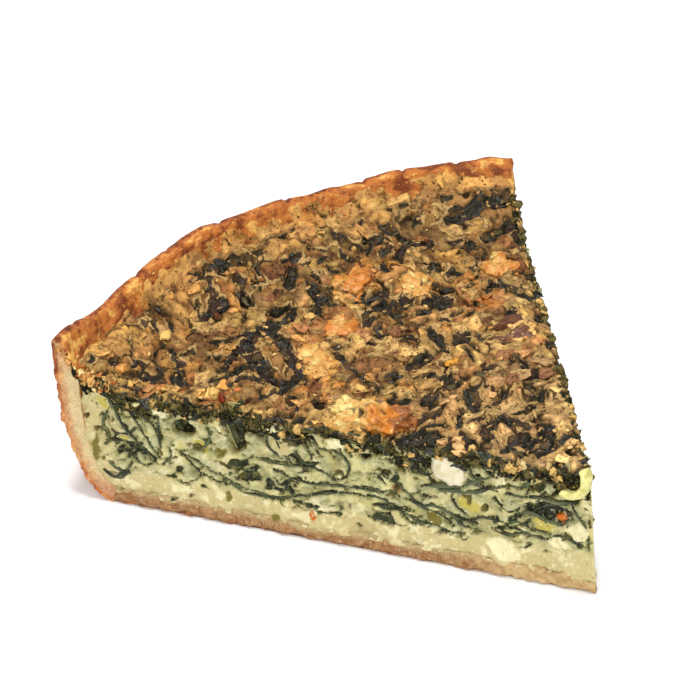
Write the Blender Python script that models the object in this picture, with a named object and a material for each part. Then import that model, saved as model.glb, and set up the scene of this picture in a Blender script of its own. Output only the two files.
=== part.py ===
"""A slice of spinach quiche: a wedge cut from a round pie with a plain, uneven pastry rim.

The pastry case and the spinach custard run through the whole slice. Browned lumps of cheese sit in
sockets on top, a white cheese cube shows in one cut side, and a curl of leek sits at the tip.

Metres, +Z up. The slice stands on z = 0 with its tip towards -Y and its rim towards +Y. Seen from
the tip, the left cut side is the upright one, and the right one leans in a little as it rises.
"""

import math

import bmesh
import bpy
from mathutils import Matrix, Vector, noise

# The baked pie
RIM_RADIUS = 0.130
BASE_RADIUS = 0.117
RIM_HEIGHT = 0.041
CREST_RADIUS = 0.0021  # of the round crest on top of the rim
BASE_THICKNESS = 0.0045
INNER_BASE_RADIUS = 0.116
INNER_RADIUS = 0.1236
INNER_WALL_HEIGHT = 0.030  # the inner wall has come out to its radius here
SLOPE_FOOT = 0.034  # from here the inner wall slopes out to the crest
FILLING_HEIGHT = 0.031
FILLING_CLIMB = 0.0048  # how far the filling rises where it meets the wall
CLIMB_WIDTH = 0.014
CLIMB_AT_CUT = 0.62  # share of the climb that is left at the left cut side
CLIMB_RECOVERY = math.radians(5)

# The knife cuts
SLICE_ANGLE = math.radians(65)
LEAN = 0.0018  # how far the tip has moved in at the filling's height
TIP = Vector((0.0009, -RIM_RADIUS / 2, 0))  # puts the slice's box over the origin

GAP = 0.0003  # between touching pieces
STEPS = 26  # facets along the rim
FACETS = 48  # facets along each side of the filling
LEVELS = 7  # facets down the filling's sides
SHOULDER = 0.001  # depth of the first of them
WALL_POINTS = 7
CREST_POINTS = 7

# Swells of the rim: place as an angle from the left cut, half width as an angle, height
RIM_SWELLS = (
    (1.0, 3.0, 0.0009),
    (10.5, 5.0, -0.0019),
    (26.0, 4.5, 0.0015),
    (46.0, 6.0, -0.0008),
)
RIM_SWELL_FOOT = 0.6  # share of the rim's height below which the wall stays as it is
RIM_SWELL_REACH = 0.020  # how far a swell reaches into the filling

# Swells of the filling's top: width of a swell, height
TOP_SWELLS = ((0.034, 0.0011), (0.014, 0.0008))
# Hollows in the filling's top: place, radius, depth
TOP_HOLLOWS = (
    ((-0.0222, 0.0462), 0.0060, 0.0030),
    ((0.0275, 0.0205), 0.0055, 0.0020),
    ((-0.0105, 0.0370), 0.0045, 0.0020),
)

# Browned cheese lumps on top: place, length, width, height, turn in degrees
CHEESE_LUMPS = {
    "cheese_front": ((-0.0230, -0.0146), 0.0190, 0.0112, 0.0088, 128),
    "cheese_back": ((0.0101, 0.0350), 0.0115, 0.0080, 0.0062, 55),
    "cheese_middle": ((0.0217, 0.0265), 0.0130, 0.0090, 0.0066, 100),
    "cheese_left": ((-0.0176, 0.0115), 0.0150, 0.0100, 0.0060, 70),
    "cheese_small": ((-0.0031, 0.0220), 0.0090, 0.0070, 0.0056, 35),
    "cheese_right": ((0.0271, -0.0085), 0.0115, 0.0090, 0.0056, 60),
    "cheese_far": ((0.0441, 0.0200), 0.0120, 0.0070, 0.0052, 65),
}
LUMP_SUNK = 0.42  # share of a lump's height that sits below the filling's top
LUMP_ROUGHNESS = 0.16
SOCKET_GAP = 0.0004

# The white cheese cube in the left cut side: distance from the tip, height, size, turn in degrees
FETA_ALONG = 0.0345
FETA_HEIGHT = 0.0258
FETA_SIZE = (0.0100, 0.0070, 0.0072)
FETA_TURN = 38
FETA_PROUD = 0.0004

# The leek curl at the tip: distance from the tip, height, and how far it reaches into the slice
LEEK_ALONG = 0.0062
LEEK_HEIGHT = 0.0298
LEEK_DEPTH = 0.0004
LEEK_RADIUS = 0.0040
LEEK_THICKNESS = 0.0010  # from the middle of the strip to its side
LEEK_WIDTH = 0.0019  # from the middle of the strip to its edge
LEEK_REACH = math.radians(78)
LEEK_TURN = math.radians(215)  # which way the curl's back points in the cut side
LEEK_TILT = math.radians(24)

# Colour, roughness
PASTRY = ((0.62, 0.33, 0.11), 0.7)
CUSTARD = ((0.50, 0.47, 0.22), 0.6)
BROWNED = ((0.72, 0.30, 0.06), 0.6)
FETA = ((0.85, 0.82, 0.66), 0.6)
LEEK = ((0.72, 0.68, 0.22), 0.5)

# Where the inner slope meets the round crest
CREST_MEETS = math.radians(145)
crest_middle = (RIM_RADIUS - CREST_RADIUS, RIM_HEIGHT - CREST_RADIUS)
slope_top = (
    crest_middle[0] + CREST_RADIUS * math.cos(CREST_MEETS),
    crest_middle[1] + CREST_RADIUS * math.sin(CREST_MEETS),
)

left_way = Vector((-math.sin(SLICE_ANGLE / 2), math.cos(SLICE_ANGLE / 2), 0))
right_way = Vector((math.sin(SLICE_ANGLE / 2), math.cos(SLICE_ANGLE / 2), 0))
right_inward = Vector((-right_way.y, right_way.x, 0))
left_outward = Vector((-left_way.y, left_way.x, 0))


def clear_scene():
    for obj in list(bpy.data.objects):
        bpy.data.objects.remove(obj)


def collection(name):
    made = bpy.data.collections.new(name)
    bpy.context.scene.collection.children.link(made)
    return made


def material(name, look):
    colour, roughness = look
    made = bpy.data.materials.new(name)
    made.use_nodes = True
    shader = made.node_tree.nodes["Principled BSDF"]
    shader.inputs["Base Color"].default_value = (*colour, 1)
    shader.inputs["Roughness"].default_value = roughness
    shader.inputs["Metallic"].default_value = 0
    return made


def object_from(bm, name, parts, finish):
    """Turns a bmesh into a named object, with its faces pointing out."""
    bmesh.ops.recalc_face_normals(bm, faces=bm.faces)
    mesh = bpy.data.meshes.new(name)
    bm.to_mesh(mesh)
    bm.free()
    if finish:
        mesh.materials.append(finish)
    mesh.shade_smooth()
    mesh.set_sharp_from_angle(angle=math.radians(50))
    obj = bpy.data.objects.new(name, mesh)
    parts.objects.link(obj)
    return obj


def smooth(t):
    """0 below t = 0, 1 above t = 1, with an S curve between them."""
    t = min(max(t, 0.0), 1.0)
    return t * t * (3 - 2 * t)


def quarter_ellipse(share):
    """How far out a wall has come at this share of its height, from 0 at its foot to 1."""
    share = min(max(share, 0.0), 1.0)
    return math.sqrt(1 - (1 - share) ** 2)


def outer_radius(z):
    """Radius of the pie's outside at this height."""
    return BASE_RADIUS + (RIM_RADIUS - BASE_RADIUS) * quarter_ellipse(z / (RIM_HEIGHT - CREST_RADIUS))


def inner_wall():
    """The section of the pastry's inside, from its foot up to the crest, as radius and height."""
    points = []
    for i in range(WALL_POINTS + 1):
        share = (i / WALL_POINTS) ** 1.6
        radius = INNER_BASE_RADIUS + (INNER_RADIUS - INNER_BASE_RADIUS) * quarter_ellipse(share)
        points.append((radius, BASE_THICKNESS + (INNER_WALL_HEIGHT - BASE_THICKNESS) * share))
    return [*points, (INNER_RADIUS, SLOPE_FOOT), slope_top]


def inner_radius(z):
    """Radius of the pastry's inside at this height, along the facets of its section."""
    wall = inner_wall()
    for (low_radius, low), (high_radius, high) in zip(wall, wall[1:]):
        if z < high:
            return low_radius + (high_radius - low_radius) * max(z - low, 0.0) / (high - low)
    return slope_top[0]


def swelled(radius, angle, z):
    """A height, moved by the rim's swells: they reach the wall's upper part and what lies against it."""
    swell = sum(
        height * math.exp(-(((math.degrees(angle) - place) / width) ** 2))
        for place, width, height in RIM_SWELLS
    )
    foot = RIM_HEIGHT * RIM_SWELL_FOOT
    swell *= smooth((z - foot) / (RIM_HEIGHT - foot))
    return z + swell * smooth((radius - INNER_RADIUS) / RIM_SWELL_REACH + 1)


def lean_of(point):
    """How far the knife's lean moves a point that was measured from an upright tip."""
    across = right_way.cross(left_way).z
    along_left = right_way.cross(point).z / across
    along_right = point.cross(left_way).z / across
    near_tip = 1 - (along_left + along_right) / RIM_RADIUS
    near_right = along_right / RIM_RADIUS
    moved = left_way * near_tip + right_inward * (math.sin(SLICE_ANGLE) * near_right)
    return moved * (LEAN * point.z / FILLING_HEIGHT)


def placed(point):
    """A point measured from an upright tip, moved to where it lies in the slice."""
    return point + lean_of(point) + TIP


def at_angle(radius, angle, z):
    """A point at this radius and this angle from the left cut, measured from the tip."""
    turned = Matrix.Rotation(-angle, 3, "Z") @ left_way
    return Vector((turned.x * radius, turned.y * radius, z))


def filling_top(radius, angle):
    """Height of the filling's top."""
    place = at_angle(radius, angle, 0) + TIP
    climb = smooth((radius - inner_radius(FILLING_HEIGHT) + CLIMB_WIDTH) / CLIMB_WIDTH) ** 2
    climb *= CLIMB_AT_CUT + (1 - CLIMB_AT_CUT) * smooth(angle / CLIMB_RECOVERY)
    height = FILLING_HEIGHT + FILLING_CLIMB * climb
    for width, swell in TOP_SWELLS:
        height += swell * noise.noise(place / width)
    for (x, y), hollow, depth in TOP_HOLLOWS:
        height -= depth * math.exp(-(((place.x - x) ** 2 + (place.y - y) ** 2) / hollow**2))
    return height


def make_crust(parts, finish):
    """The pastry case: its section as one face, spun from the left cut to the right one."""
    section = [(0, 0), (BASE_RADIUS, 0)]
    for i in range(1, WALL_POINTS):
        z = crest_middle[1] * (i / WALL_POINTS) ** 1.6
        section.append((outer_radius(z), z))
    for i in range(CREST_POINTS + 1):
        turn = CREST_MEETS * i / CREST_POINTS
        out, up = CREST_RADIUS * math.cos(turn), CREST_RADIUS * math.sin(turn)
        section.append((crest_middle[0] + out, crest_middle[1] + up))
    section += inner_wall()[-2::-1]
    section.append((0, BASE_THICKNESS))

    bm = bmesh.new()
    corners = [bm.verts.new(at_angle(radius, 0, z)) for radius, z in section]
    face = bm.faces.new(corners)
    bmesh.ops.spin(
        bm,
        geom=[*corners, *face.edges, face],
        cent=(0, 0, 0),
        axis=(0, 0, -1),
        angle=SLICE_ANGLE,
        steps=STEPS,
        use_merge=False,
    )
    bmesh.ops.remove_doubles(bm, verts=bm.verts, dist=1e-6)
    for vert in bm.verts:
        flat = Vector((vert.co.x, vert.co.y, 0))
        vert.co.z = swelled(flat.length, left_way.angle(flat, 0.0), vert.co.z)
        vert.co = placed(vert.co)
    return object_from(bm, "crust", parts, finish)


def make_filling(parts, finish):
    """The spinach custard: a three-cornered sheet of facets for its top, extruded down level by level."""
    bm = bmesh.new()
    share_of = bm.verts.layers.float.new("radius_share")
    angle_of = bm.verts.layers.float.new("angle")
    corners = [bm.verts.new(p) for p in (Vector(), right_way, left_way)]
    bm.faces.new(corners)
    bmesh.ops.subdivide_edges(bm, edges=bm.edges, cuts=FACETS - 1, use_grid_fill=True)
    for vert in bm.verts:
        # The sheet's far side is straight, and it is pushed out to the arc.
        angle = left_way.angle(vert.co, SLICE_ANGLE / 2)
        chord = math.cos(SLICE_ANGLE / 2) / math.cos(angle - SLICE_ANGLE / 2)
        vert[share_of] = vert.co.length / chord
        vert[angle_of] = angle

    def settle(verts, level):
        """Puts a layer of vertices in place: 0 is the top, 1 the shoulder under it, then down to the pastry."""
        for vert in verts:
            angle, share = vert[angle_of], vert[share_of]
            top_radius = share * (inner_radius(FILLING_HEIGHT + FILLING_CLIMB) - GAP)
            bottom, z = BASE_THICKNESS + GAP, filling_top(top_radius, angle)
            if level:
                shoulder = min(z - SHOULDER, SLOPE_FOOT)
                z = bottom + (shoulder - bottom) * ((LEVELS - level) / (LEVELS - 1)) ** 1.3
            radius = share * (inner_radius(z - GAP) - GAP)
            vert.co = placed(at_angle(radius, angle, swelled(radius, angle, z)))

    faces = list(bm.faces)
    settle(bm.verts, 0)
    for level in range(1, LEVELS + 1):
        made = bmesh.ops.extrude_face_region(bm, geom=faces)["geom"]
        if level > 1:
            # Only the first layer's faces stay, as the top. Later ones would be walls inside.
            bmesh.ops.delete(bm, geom=faces, context="FACES")
        faces = [g for g in made if isinstance(g, bmesh.types.BMFace)]
        settle([g for g in made if isinstance(g, bmesh.types.BMVert)], level)
    bmesh.ops.dissolve_faces(bm, faces=faces)
    return object_from(bm, "filling", parts, finish)


def knife(bm, place, outward):
    """Cuts away what lies outside a plane and closes the cut."""
    cut = bmesh.ops.bisect_plane(
        bm,
        geom=[*bm.verts, *bm.edges, *bm.faces],
        plane_co=place,
        plane_no=outward,
        clear_outer=True,
    )["geom_cut"]
    edges = [g for g in cut if isinstance(g, bmesh.types.BMEdge)]
    if edges:
        bmesh.ops.edgenet_fill(bm, edges=edges)


def lump_mesh(size, swell, seed):
    """An uneven lump round the origin, with its faces moved out by swell."""
    bm = bmesh.new()
    bmesh.ops.create_icosphere(bm, subdivisions=3, radius=0.5)
    for vert in bm.verts:
        way = vert.co.normalized()
        uneven = 1 + LUMP_ROUGHNESS * noise.noise(way * 1.7 + Vector((seed, 0, 0)))
        uneven += LUMP_ROUGHNESS * noise.noise(way * 3.6 + Vector((0, seed, 0))) / 2
        vert.co = Vector(vert.co[i] * size[i] * uneven for i in range(3)) + way * swell
    return bm


def socket(host, cutter):
    """Cuts the cutter's shape out of the host and keeps the cutter as a helper."""
    cutter.hide_render = True
    cutter.display_type = "WIRE"
    cut = host.modifiers.new(cutter.name, "BOOLEAN")
    cut.operation = "DIFFERENCE"
    cut.solver = "EXACT"
    cut.object = cutter


def make_cheese_lumps(parts, cutters, filling, finish):
    for seed, (name, (place, length, width, height, turn)) in enumerate(CHEESE_LUMPS.items(), 1):
        on_filling = Vector((*place, 0)) - TIP
        radius, angle = on_filling.length, left_way.angle(on_filling)
        z = filling_top(radius, angle) + height * (0.5 - LUMP_SUNK)
        matrix = Matrix.Translation((*place, z)) @ Matrix.Rotation(math.radians(turn), 4, "Z")
        lump = object_from(lump_mesh((length, width, height), 0, seed), name, parts, finish)
        cutter = object_from(
            lump_mesh((length, width, height), SOCKET_GAP, seed), name + "_socket", cutters, None
        )
        lump.matrix_world = cutter.matrix_world = matrix
        socket(filling, cutter)


def make_feta(parts, cutters, filling, finish):
    """A white cheese cube that the knife went through: its outer part is cut away."""
    middle = TIP + left_way * FETA_ALONG + Vector((0, 0, FETA_HEIGHT)) - left_outward * (FETA_SIZE[2] * 0.2)
    sideways = Matrix((left_way, Vector((0, 0, 1)), left_way.cross(Vector((0, 0, 1))))).transposed().to_4x4()
    matrix = Matrix.Translation(middle) @ sideways @ Matrix.Rotation(math.radians(FETA_TURN), 4, "Z")
    cutter = object_from(lump_mesh(FETA_SIZE, SOCKET_GAP, 31), "feta_cube_socket", cutters, None)
    cutter.matrix_world = matrix
    socket(filling, cutter)
    bm = lump_mesh(FETA_SIZE, 0, 31)
    bm.transform(matrix)
    knife(bm, TIP + left_outward * FETA_PROUD, left_outward)
    object_from(bm, "feta_cube", parts, finish)


def leek_mesh(swell):
    """A strip of leek, curled round the origin about the Z axis, with its back towards +X."""
    bm = bmesh.new()
    strip = bmesh.ops.create_circle(bm, cap_ends=True, radius=1, segments=12)["verts"]
    bmesh.ops.scale(bm, vec=(LEEK_THICKNESS + swell, LEEK_WIDTH + swell, 1), verts=strip)
    bmesh.ops.rotate(bm, cent=(0, 0, 0), matrix=Matrix.Rotation(math.radians(90), 3, "X"), verts=strip)
    bmesh.ops.translate(bm, vec=(LEEK_RADIUS, 0, 0), verts=strip)
    reach = LEEK_REACH + swell / LEEK_RADIUS
    bmesh.ops.rotate(bm, cent=(0, 0, 0), matrix=Matrix.Rotation(-reach, 3, "Z"), verts=strip)
    bmesh.ops.spin(bm, geom=[*bm.verts, *bm.edges, *bm.faces], axis=(0, 0, 1), angle=2 * reach, steps=14)
    bmesh.ops.remove_doubles(bm, verts=bm.verts, dist=1e-6)
    return bm


def make_leek(parts, cutters, filling, finish):
    """The leek curl shows in the left cut side at the tip, with its back towards the tip."""
    upright = Vector((0, 0, 1))
    middle = TIP + left_way * LEEK_ALONG + upright * LEEK_HEIGHT - left_outward * LEEK_DEPTH
    sideways = Matrix((left_way, upright, left_way.cross(upright))).transposed().to_4x4()
    matrix = (
        Matrix.Translation(middle)
        @ sideways
        @ Matrix.Rotation(LEEK_TURN, 4, "Z")
        @ Matrix.Rotation(LEEK_TILT, 4, "Y")
    )
    cutter = object_from(leek_mesh(SOCKET_GAP), "leek_curl_socket", cutters, None)
    cutter.matrix_world = matrix
    socket(filling, cutter)
    bm = leek_mesh(0)
    bm.transform(matrix)
    right_outward = -right_inward
    on_right = placed(upright * LEEK_HEIGHT)
    knife(bm, on_right, right_outward)
    object_from(bm, "leek_curl", parts, finish)


def main():
    clear_scene()
    parts = collection("spinach_quiche_slice")
    cutters = collection("sockets")
    make_crust(parts, material("pastry", PASTRY))
    filling = make_filling(parts, material("custard", CUSTARD))
    make_cheese_lumps(parts, cutters, filling, material("browned_cheese", BROWNED))
    make_feta(parts, cutters, filling, material("feta", FETA))
    make_leek(parts, cutters, filling, material("leek", LEEK))


main()
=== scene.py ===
# %% [markdown]
# # A slice of spinach quiche
#
# The CAD model of this slice has its true form, but its surfaces are plain facets. This lesson gives
# them what a real slice has: a browned and blistered top with dark leaves in it, two cut sides full of
# spinach strands, a crumbly pastry case, toasted cheese and crumbs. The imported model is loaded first,
# as a frame that nothing here may move or stretch.

# %% Load the frame
import itertools
import math

import bmesh
import bpy
import numpy as np
from mathutils import Matrix, Vector, noise
from mathutils.kdtree import KDTree


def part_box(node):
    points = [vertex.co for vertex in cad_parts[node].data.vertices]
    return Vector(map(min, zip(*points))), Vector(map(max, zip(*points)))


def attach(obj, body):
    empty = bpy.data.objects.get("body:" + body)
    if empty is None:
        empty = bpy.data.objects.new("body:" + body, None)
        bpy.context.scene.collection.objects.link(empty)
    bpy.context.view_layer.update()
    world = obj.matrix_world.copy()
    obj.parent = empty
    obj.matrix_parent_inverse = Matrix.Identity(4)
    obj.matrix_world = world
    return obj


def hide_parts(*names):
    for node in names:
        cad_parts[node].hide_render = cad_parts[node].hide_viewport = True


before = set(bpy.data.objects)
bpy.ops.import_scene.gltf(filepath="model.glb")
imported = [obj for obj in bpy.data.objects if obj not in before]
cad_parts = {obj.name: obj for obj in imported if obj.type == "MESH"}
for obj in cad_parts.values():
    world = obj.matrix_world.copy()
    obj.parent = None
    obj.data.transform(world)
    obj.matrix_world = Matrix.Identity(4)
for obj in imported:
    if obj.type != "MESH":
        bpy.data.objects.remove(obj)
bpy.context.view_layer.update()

print("the slice's nodes:", ", ".join(sorted(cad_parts)))

# %% [markdown]
# ## Camera, light and floor
#
# A slice of food is looked at from a little above, over its tip, so that the top and one cut side both
# show. A long lens from most of a metre away keeps the sides nearly parallel. The picture is turned a
# little, as a camera held by hand is, so the camera's three axes are written out, not aimed at a point.

# %% Camera
MM = 0.001
CAMERA_TARGET = np.array((2.33, 25.8, 20.0))
CAMERA_DISTANCE = 788
CAMERA_ELEVATION = math.radians(31.94)
CAMERA_AZIMUTH = math.radians(-37.09)
CAMERA_ROLL = math.radians(-1.34)
CAMERA_LENS = 169.7


def place_camera():
    level = math.cos(CAMERA_ELEVATION)
    back = np.array((
        math.sin(CAMERA_AZIMUTH) * level,
        -math.cos(CAMERA_AZIMUTH) * level,
        math.sin(CAMERA_ELEVATION),
    ))
    right = np.array((math.cos(CAMERA_AZIMUTH), math.sin(CAMERA_AZIMUTH), 0))
    up = np.cross(back, right)
    turned_right = math.cos(CAMERA_ROLL) * right + math.sin(CAMERA_ROLL) * up
    turned_up = math.cos(CAMERA_ROLL) * up - math.sin(CAMERA_ROLL) * right
    lens = bpy.data.cameras.new("camera")
    lens.lens = CAMERA_LENS
    lens.clip_end = 20
    camera = bpy.data.objects.new("camera", lens)
    matrix = Matrix.Identity(4)
    place = (CAMERA_TARGET + back * CAMERA_DISTANCE) * MM
    for column, axis in enumerate((turned_right, turned_up, back, place)):
        for row in range(3):
            matrix[row][column] = axis[row]
    camera.matrix_world = matrix
    bpy.context.scene.collection.objects.link(camera)
    bpy.context.scene.camera = camera
    return place


print("camera at", np.round(place_camera(), 3), "m")

# %% [markdown]
# A bright, even room makes a white floor with hardly any shadow. What gives the crumbs and leaves their
# shape is one soft light above the slice, and a weaker one in front of the cut side.
# The world is plain white, because a picture of a room would only add colour.

# %% Light and floor
WORLD_STRENGTH = 0.5
KEY_ENERGY = 11
FILL_ENERGY = 12
KEY_PLACE, KEY_SIDE = (-0.08, 0.0, 1.2), 0.3
FILL_PLACE, FILL_SIDE = (-0.75, -0.95, 0.75), 0.7
SLICE_MIDDLE = (0, 0, 0.02)
FLOOR_SIDE = 6


def add_light(name, place, side, energy):
    lamp = bpy.data.lights.new(name, "AREA")
    lamp.size = side
    lamp.energy = energy
    light = bpy.data.objects.new(name, lamp)
    light.location = place
    light.rotation_euler = (Vector(SLICE_MIDDLE) - Vector(place)).to_track_quat("-Z", "Y").to_euler()
    bpy.context.scene.collection.objects.link(light)


def make_room():
    scene = bpy.context.scene
    scene.view_settings.view_transform = "Standard"
    world = bpy.data.worlds.new("white room")
    world.use_nodes = True
    world.node_tree.nodes["Background"].inputs["Color"].default_value = (1, 1, 1, 1)
    world.node_tree.nodes["Background"].inputs["Strength"].default_value = WORLD_STRENGTH
    scene.world = world
    add_light("key", KEY_PLACE, KEY_SIDE, KEY_ENERGY)
    add_light("fill", FILL_PLACE, FILL_SIDE, FILL_ENERGY)
    bm = bmesh.new()
    bmesh.ops.create_grid(bm, x_segments=1, y_segments=1, size=FLOOR_SIDE / 2)
    mesh = bpy.data.meshes.new("floor")
    bm.to_mesh(mesh)
    bm.free()
    floor = bpy.data.objects.new("floor", mesh)
    scene.collection.objects.link(floor)
    paint = bpy.data.materials.new("white floor")
    paint.use_nodes = True
    shader = paint.node_tree.nodes["Principled BSDF"]
    shader.inputs["Base Color"].default_value = (0.9, 0.9, 0.9, 1)
    shader.inputs["Roughness"].default_value = 0.9
    shader.inputs["Specular IOR Level"].default_value = 0
    mesh.materials.append(paint)


make_room()

# %% [markdown]
# ## The slice's form
#
# Everything below follows the same few sizes as the CAD model: the pie's radii, the pastry's section,
# the angle of the slice and the lean of its right side. They are repeated here as functions that take
# whole arrays of vertices, because the fine meshes have up to a hundred thousand of them. Lengths are
# in millimetres, and a mesh is turned into metres as the last thing.

# %% Sizes of the pie
RIM_RADIUS = 130
BASE_RADIUS = 117
RIM_HEIGHT = 41
CREST_RADIUS = 2.1
CREST_MEETS = math.radians(145)
BASE_THICKNESS = 4.5
INNER_BASE_RADIUS = 116
INNER_RADIUS = 123.6
INNER_WALL_HEIGHT = 30
SLOPE_FOOT = 34
WALL_POINTS = 7
FILLING_HEIGHT = 31
FILLING_CLIMB = 4.8
CLIMB_WIDTH = 14
CLIMB_AT_CUT = 0.62
CLIMB_RECOVERY = math.radians(5)
SLICE_ANGLE = math.radians(65)
LEAN = 1.8
TIP = np.array((0.9, -RIM_RADIUS / 2, 0))
RIM_SWELLS = ((1.0, 3.0, 0.9), (10.5, 5.0, -1.9), (26.0, 4.5, 1.5), (46.0, 6.0, -0.8))
RIM_SWELL_FOOT = 0.6
RIM_SWELL_REACH = 20
TOP_SWELLS = ((34, 1.1), (14, 0.8))
TOP_HOLLOWS = ((-22.2, 46.2, 6.0, 3.0), (27.5, 20.5, 5.5, 2.0), (-10.5, 37.0, 4.5, 2.0))

half_angle = SLICE_ANGLE / 2
left_way = np.array((-math.sin(half_angle), math.cos(half_angle), 0))
right_way = np.array((math.sin(half_angle), math.cos(half_angle), 0))
left_outward = np.array((-left_way[1], left_way[0], 0))
right_outward = np.array((right_way[1], -right_way[0], 0))
crest_middle = np.array((RIM_RADIUS - CREST_RADIUS, RIM_HEIGHT - CREST_RADIUS))
slope_top = crest_middle + CREST_RADIUS * np.array((math.cos(CREST_MEETS), math.sin(CREST_MEETS)))


def smooth(t):
    """0 below t = 0, 1 above t = 1, with an S curve between them."""
    t = np.clip(t, 0.0, 1.0)
    return t * t * (3 - 2 * t)


def quarter_ellipse(share):
    """How far out a wall has come at this share of its height, from 0 at its foot to 1."""
    return np.sqrt(1 - (1 - np.clip(share, 0, 1)) ** 2)


def outer_radius(z):
    """Radius of the pie's outside at this height."""
    return BASE_RADIUS + (RIM_RADIUS - BASE_RADIUS) * quarter_ellipse(z / crest_middle[1])


def inner_wall():
    """The section of the pastry's inside, from its foot up to the crest, as radius and height."""
    share = np.linspace(0, 1, WALL_POINTS + 1) ** 1.6
    radius = INNER_BASE_RADIUS + (INNER_RADIUS - INNER_BASE_RADIUS) * quarter_ellipse(share)
    height = BASE_THICKNESS + (INNER_WALL_HEIGHT - BASE_THICKNESS) * share
    return np.vstack([np.column_stack([radius, height]), (INNER_RADIUS, SLOPE_FOOT), slope_top])


def inner_radius(z):
    """Radius of the pastry's inside at this height."""
    radius, height = inner_wall().T
    return np.interp(z, height, radius)


def swelled(radius, angle, z):
    """Heights, moved by the rim's swells."""
    degrees = np.degrees(angle)
    swell = sum(height * np.exp(-(((degrees - place) / width) ** 2)) for place, width, height in RIM_SWELLS)
    foot = RIM_HEIGHT * RIM_SWELL_FOOT
    swell = swell * smooth((z - foot) / (RIM_HEIGHT - foot))
    return z + swell * smooth((radius - INNER_RADIUS) / RIM_SWELL_REACH + 1)


def placed(radius, angle, z):
    """Where points at this radius, angle from the left cut and height lie in the slice."""
    turn = angle - half_angle
    x, y = radius * np.sin(turn), radius * np.cos(turn)
    across = right_way[0] * left_way[1] - right_way[1] * left_way[0]
    along_left = (right_way[0] * y - right_way[1] * x) / across
    along_right = (x * left_way[1] - y * left_way[0]) / across
    near_tip = 1 - (along_left + along_right) / RIM_RADIUS
    near_right = along_right / RIM_RADIUS
    lean = LEAN * z / FILLING_HEIGHT
    moved_x = (left_way[0] * near_tip - right_outward[0] * math.sin(SLICE_ANGLE) * near_right) * lean
    moved_y = (left_way[1] * near_tip - right_outward[1] * math.sin(SLICE_ANGLE) * near_right) * lean
    return np.stack([x + moved_x + TIP[0], y + moved_y + TIP[1], z + 0 * x], axis=-1)


def filling_top(radius, angle):
    """Height of the filling's top, without the fine relief."""
    x, y = radius * np.sin(angle - half_angle) + TIP[0], radius * np.cos(angle - half_angle) + TIP[1]
    climb = smooth((radius - inner_radius(FILLING_HEIGHT) + CLIMB_WIDTH) / CLIMB_WIDTH) ** 2
    climb = climb * (CLIMB_AT_CUT + (1 - CLIMB_AT_CUT) * smooth(angle / CLIMB_RECOVERY))
    height = FILLING_HEIGHT + FILLING_CLIMB * climb
    for width, swell in TOP_SWELLS:
        swells = [noise.noise((px / width, py / width, 0)) for px, py in zip(x.tolist(), y.tolist())]
        height = height + swell * np.array(swells)
    for hollow_x, hollow_y, hollow, depth in TOP_HOLLOWS:
        height = height - depth * np.exp(-(((x - hollow_x) ** 2 + (y - hollow_y) ** 2) / hollow**2))
    return height


print(f"inner radius halfway up: {inner_radius(15):.1f} mm, filling's top at 60 mm: "
      f"{filling_top(np.array([60.0]), np.array([0.5]))[0]:.1f} mm")

# %% [markdown]
# ## Noise for whole meshes
#
# Baked food has lumps of every size. Smooth noise at several widths, added up, gives such a surface, and
# cell noise gives the round grains of curdled custard and of short pastry. Blender's own noise works on
# one point at a time, so these two work on an array of points, from a shuffled table of directions.

# %% Noise
table = np.random.default_rng(11)
SHUFFLED = np.tile(table.permutation(256), 2)
WAYS = table.normal(size=(256, 3))
WAYS /= np.linalg.norm(WAYS, axis=1, keepdims=True)
CORNERS = list(itertools.product((0, 1), repeat=3))
NEIGHBOURS = list(itertools.product((-1, 0, 1), repeat=3))


def over(colour, share, other):
    """Colours of many points, with this share of another colour laid over each."""
    share = np.clip(share, 0, 1)[:, None]
    return colour * (1 - share) + other * share


def looked_up(cell):
    cell = cell & 255
    return SHUFFLED[SHUFFLED[SHUFFLED[cell[:, 0]] + cell[:, 1]] + cell[:, 2]]


def swells(points, width, seed=0):
    """Smooth noise from about -1 to 1, with lumps of about this width."""
    place = points / width + seed * 7.31
    cell = np.floor(place).astype(int)
    part = place - cell
    fade = part**3 * (part * (6 * part - 15) + 10)
    total = np.zeros(len(points))
    for corner in CORNERS:
        slope = np.einsum("ij,ij->i", WAYS[looked_up(cell + corner)], part - corner)
        weight = np.prod(np.where(np.array(corner) == 1, fade, 1 - fade), axis=1)
        total += weight * slope
    return total * 1.6


def rough(points, width, seed=0, layers=3, fade=0.5):
    """Smooth noise at this width and at finer ones, each weaker than the last."""
    return sum(fade**i * swells(points, width / 2**i, seed + i) for i in range(layers))


def grains(points, width, seed=0):
    """Round grains of this width: 1 in a grain's middle, falling to about 0 between grains."""
    place = points / width + seed * 3.17
    cell = np.floor(place).astype(int)
    nearest = np.full(len(points), 9.0)
    for step in NEIGHBOURS:
        there = cell + step
        middle = there + 0.5 + 0.4 * WAYS[looked_up(there)]
        nearest = np.minimum(nearest, ((place - middle) ** 2).sum(axis=1))
    return 1 - np.sqrt(nearest)


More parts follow.
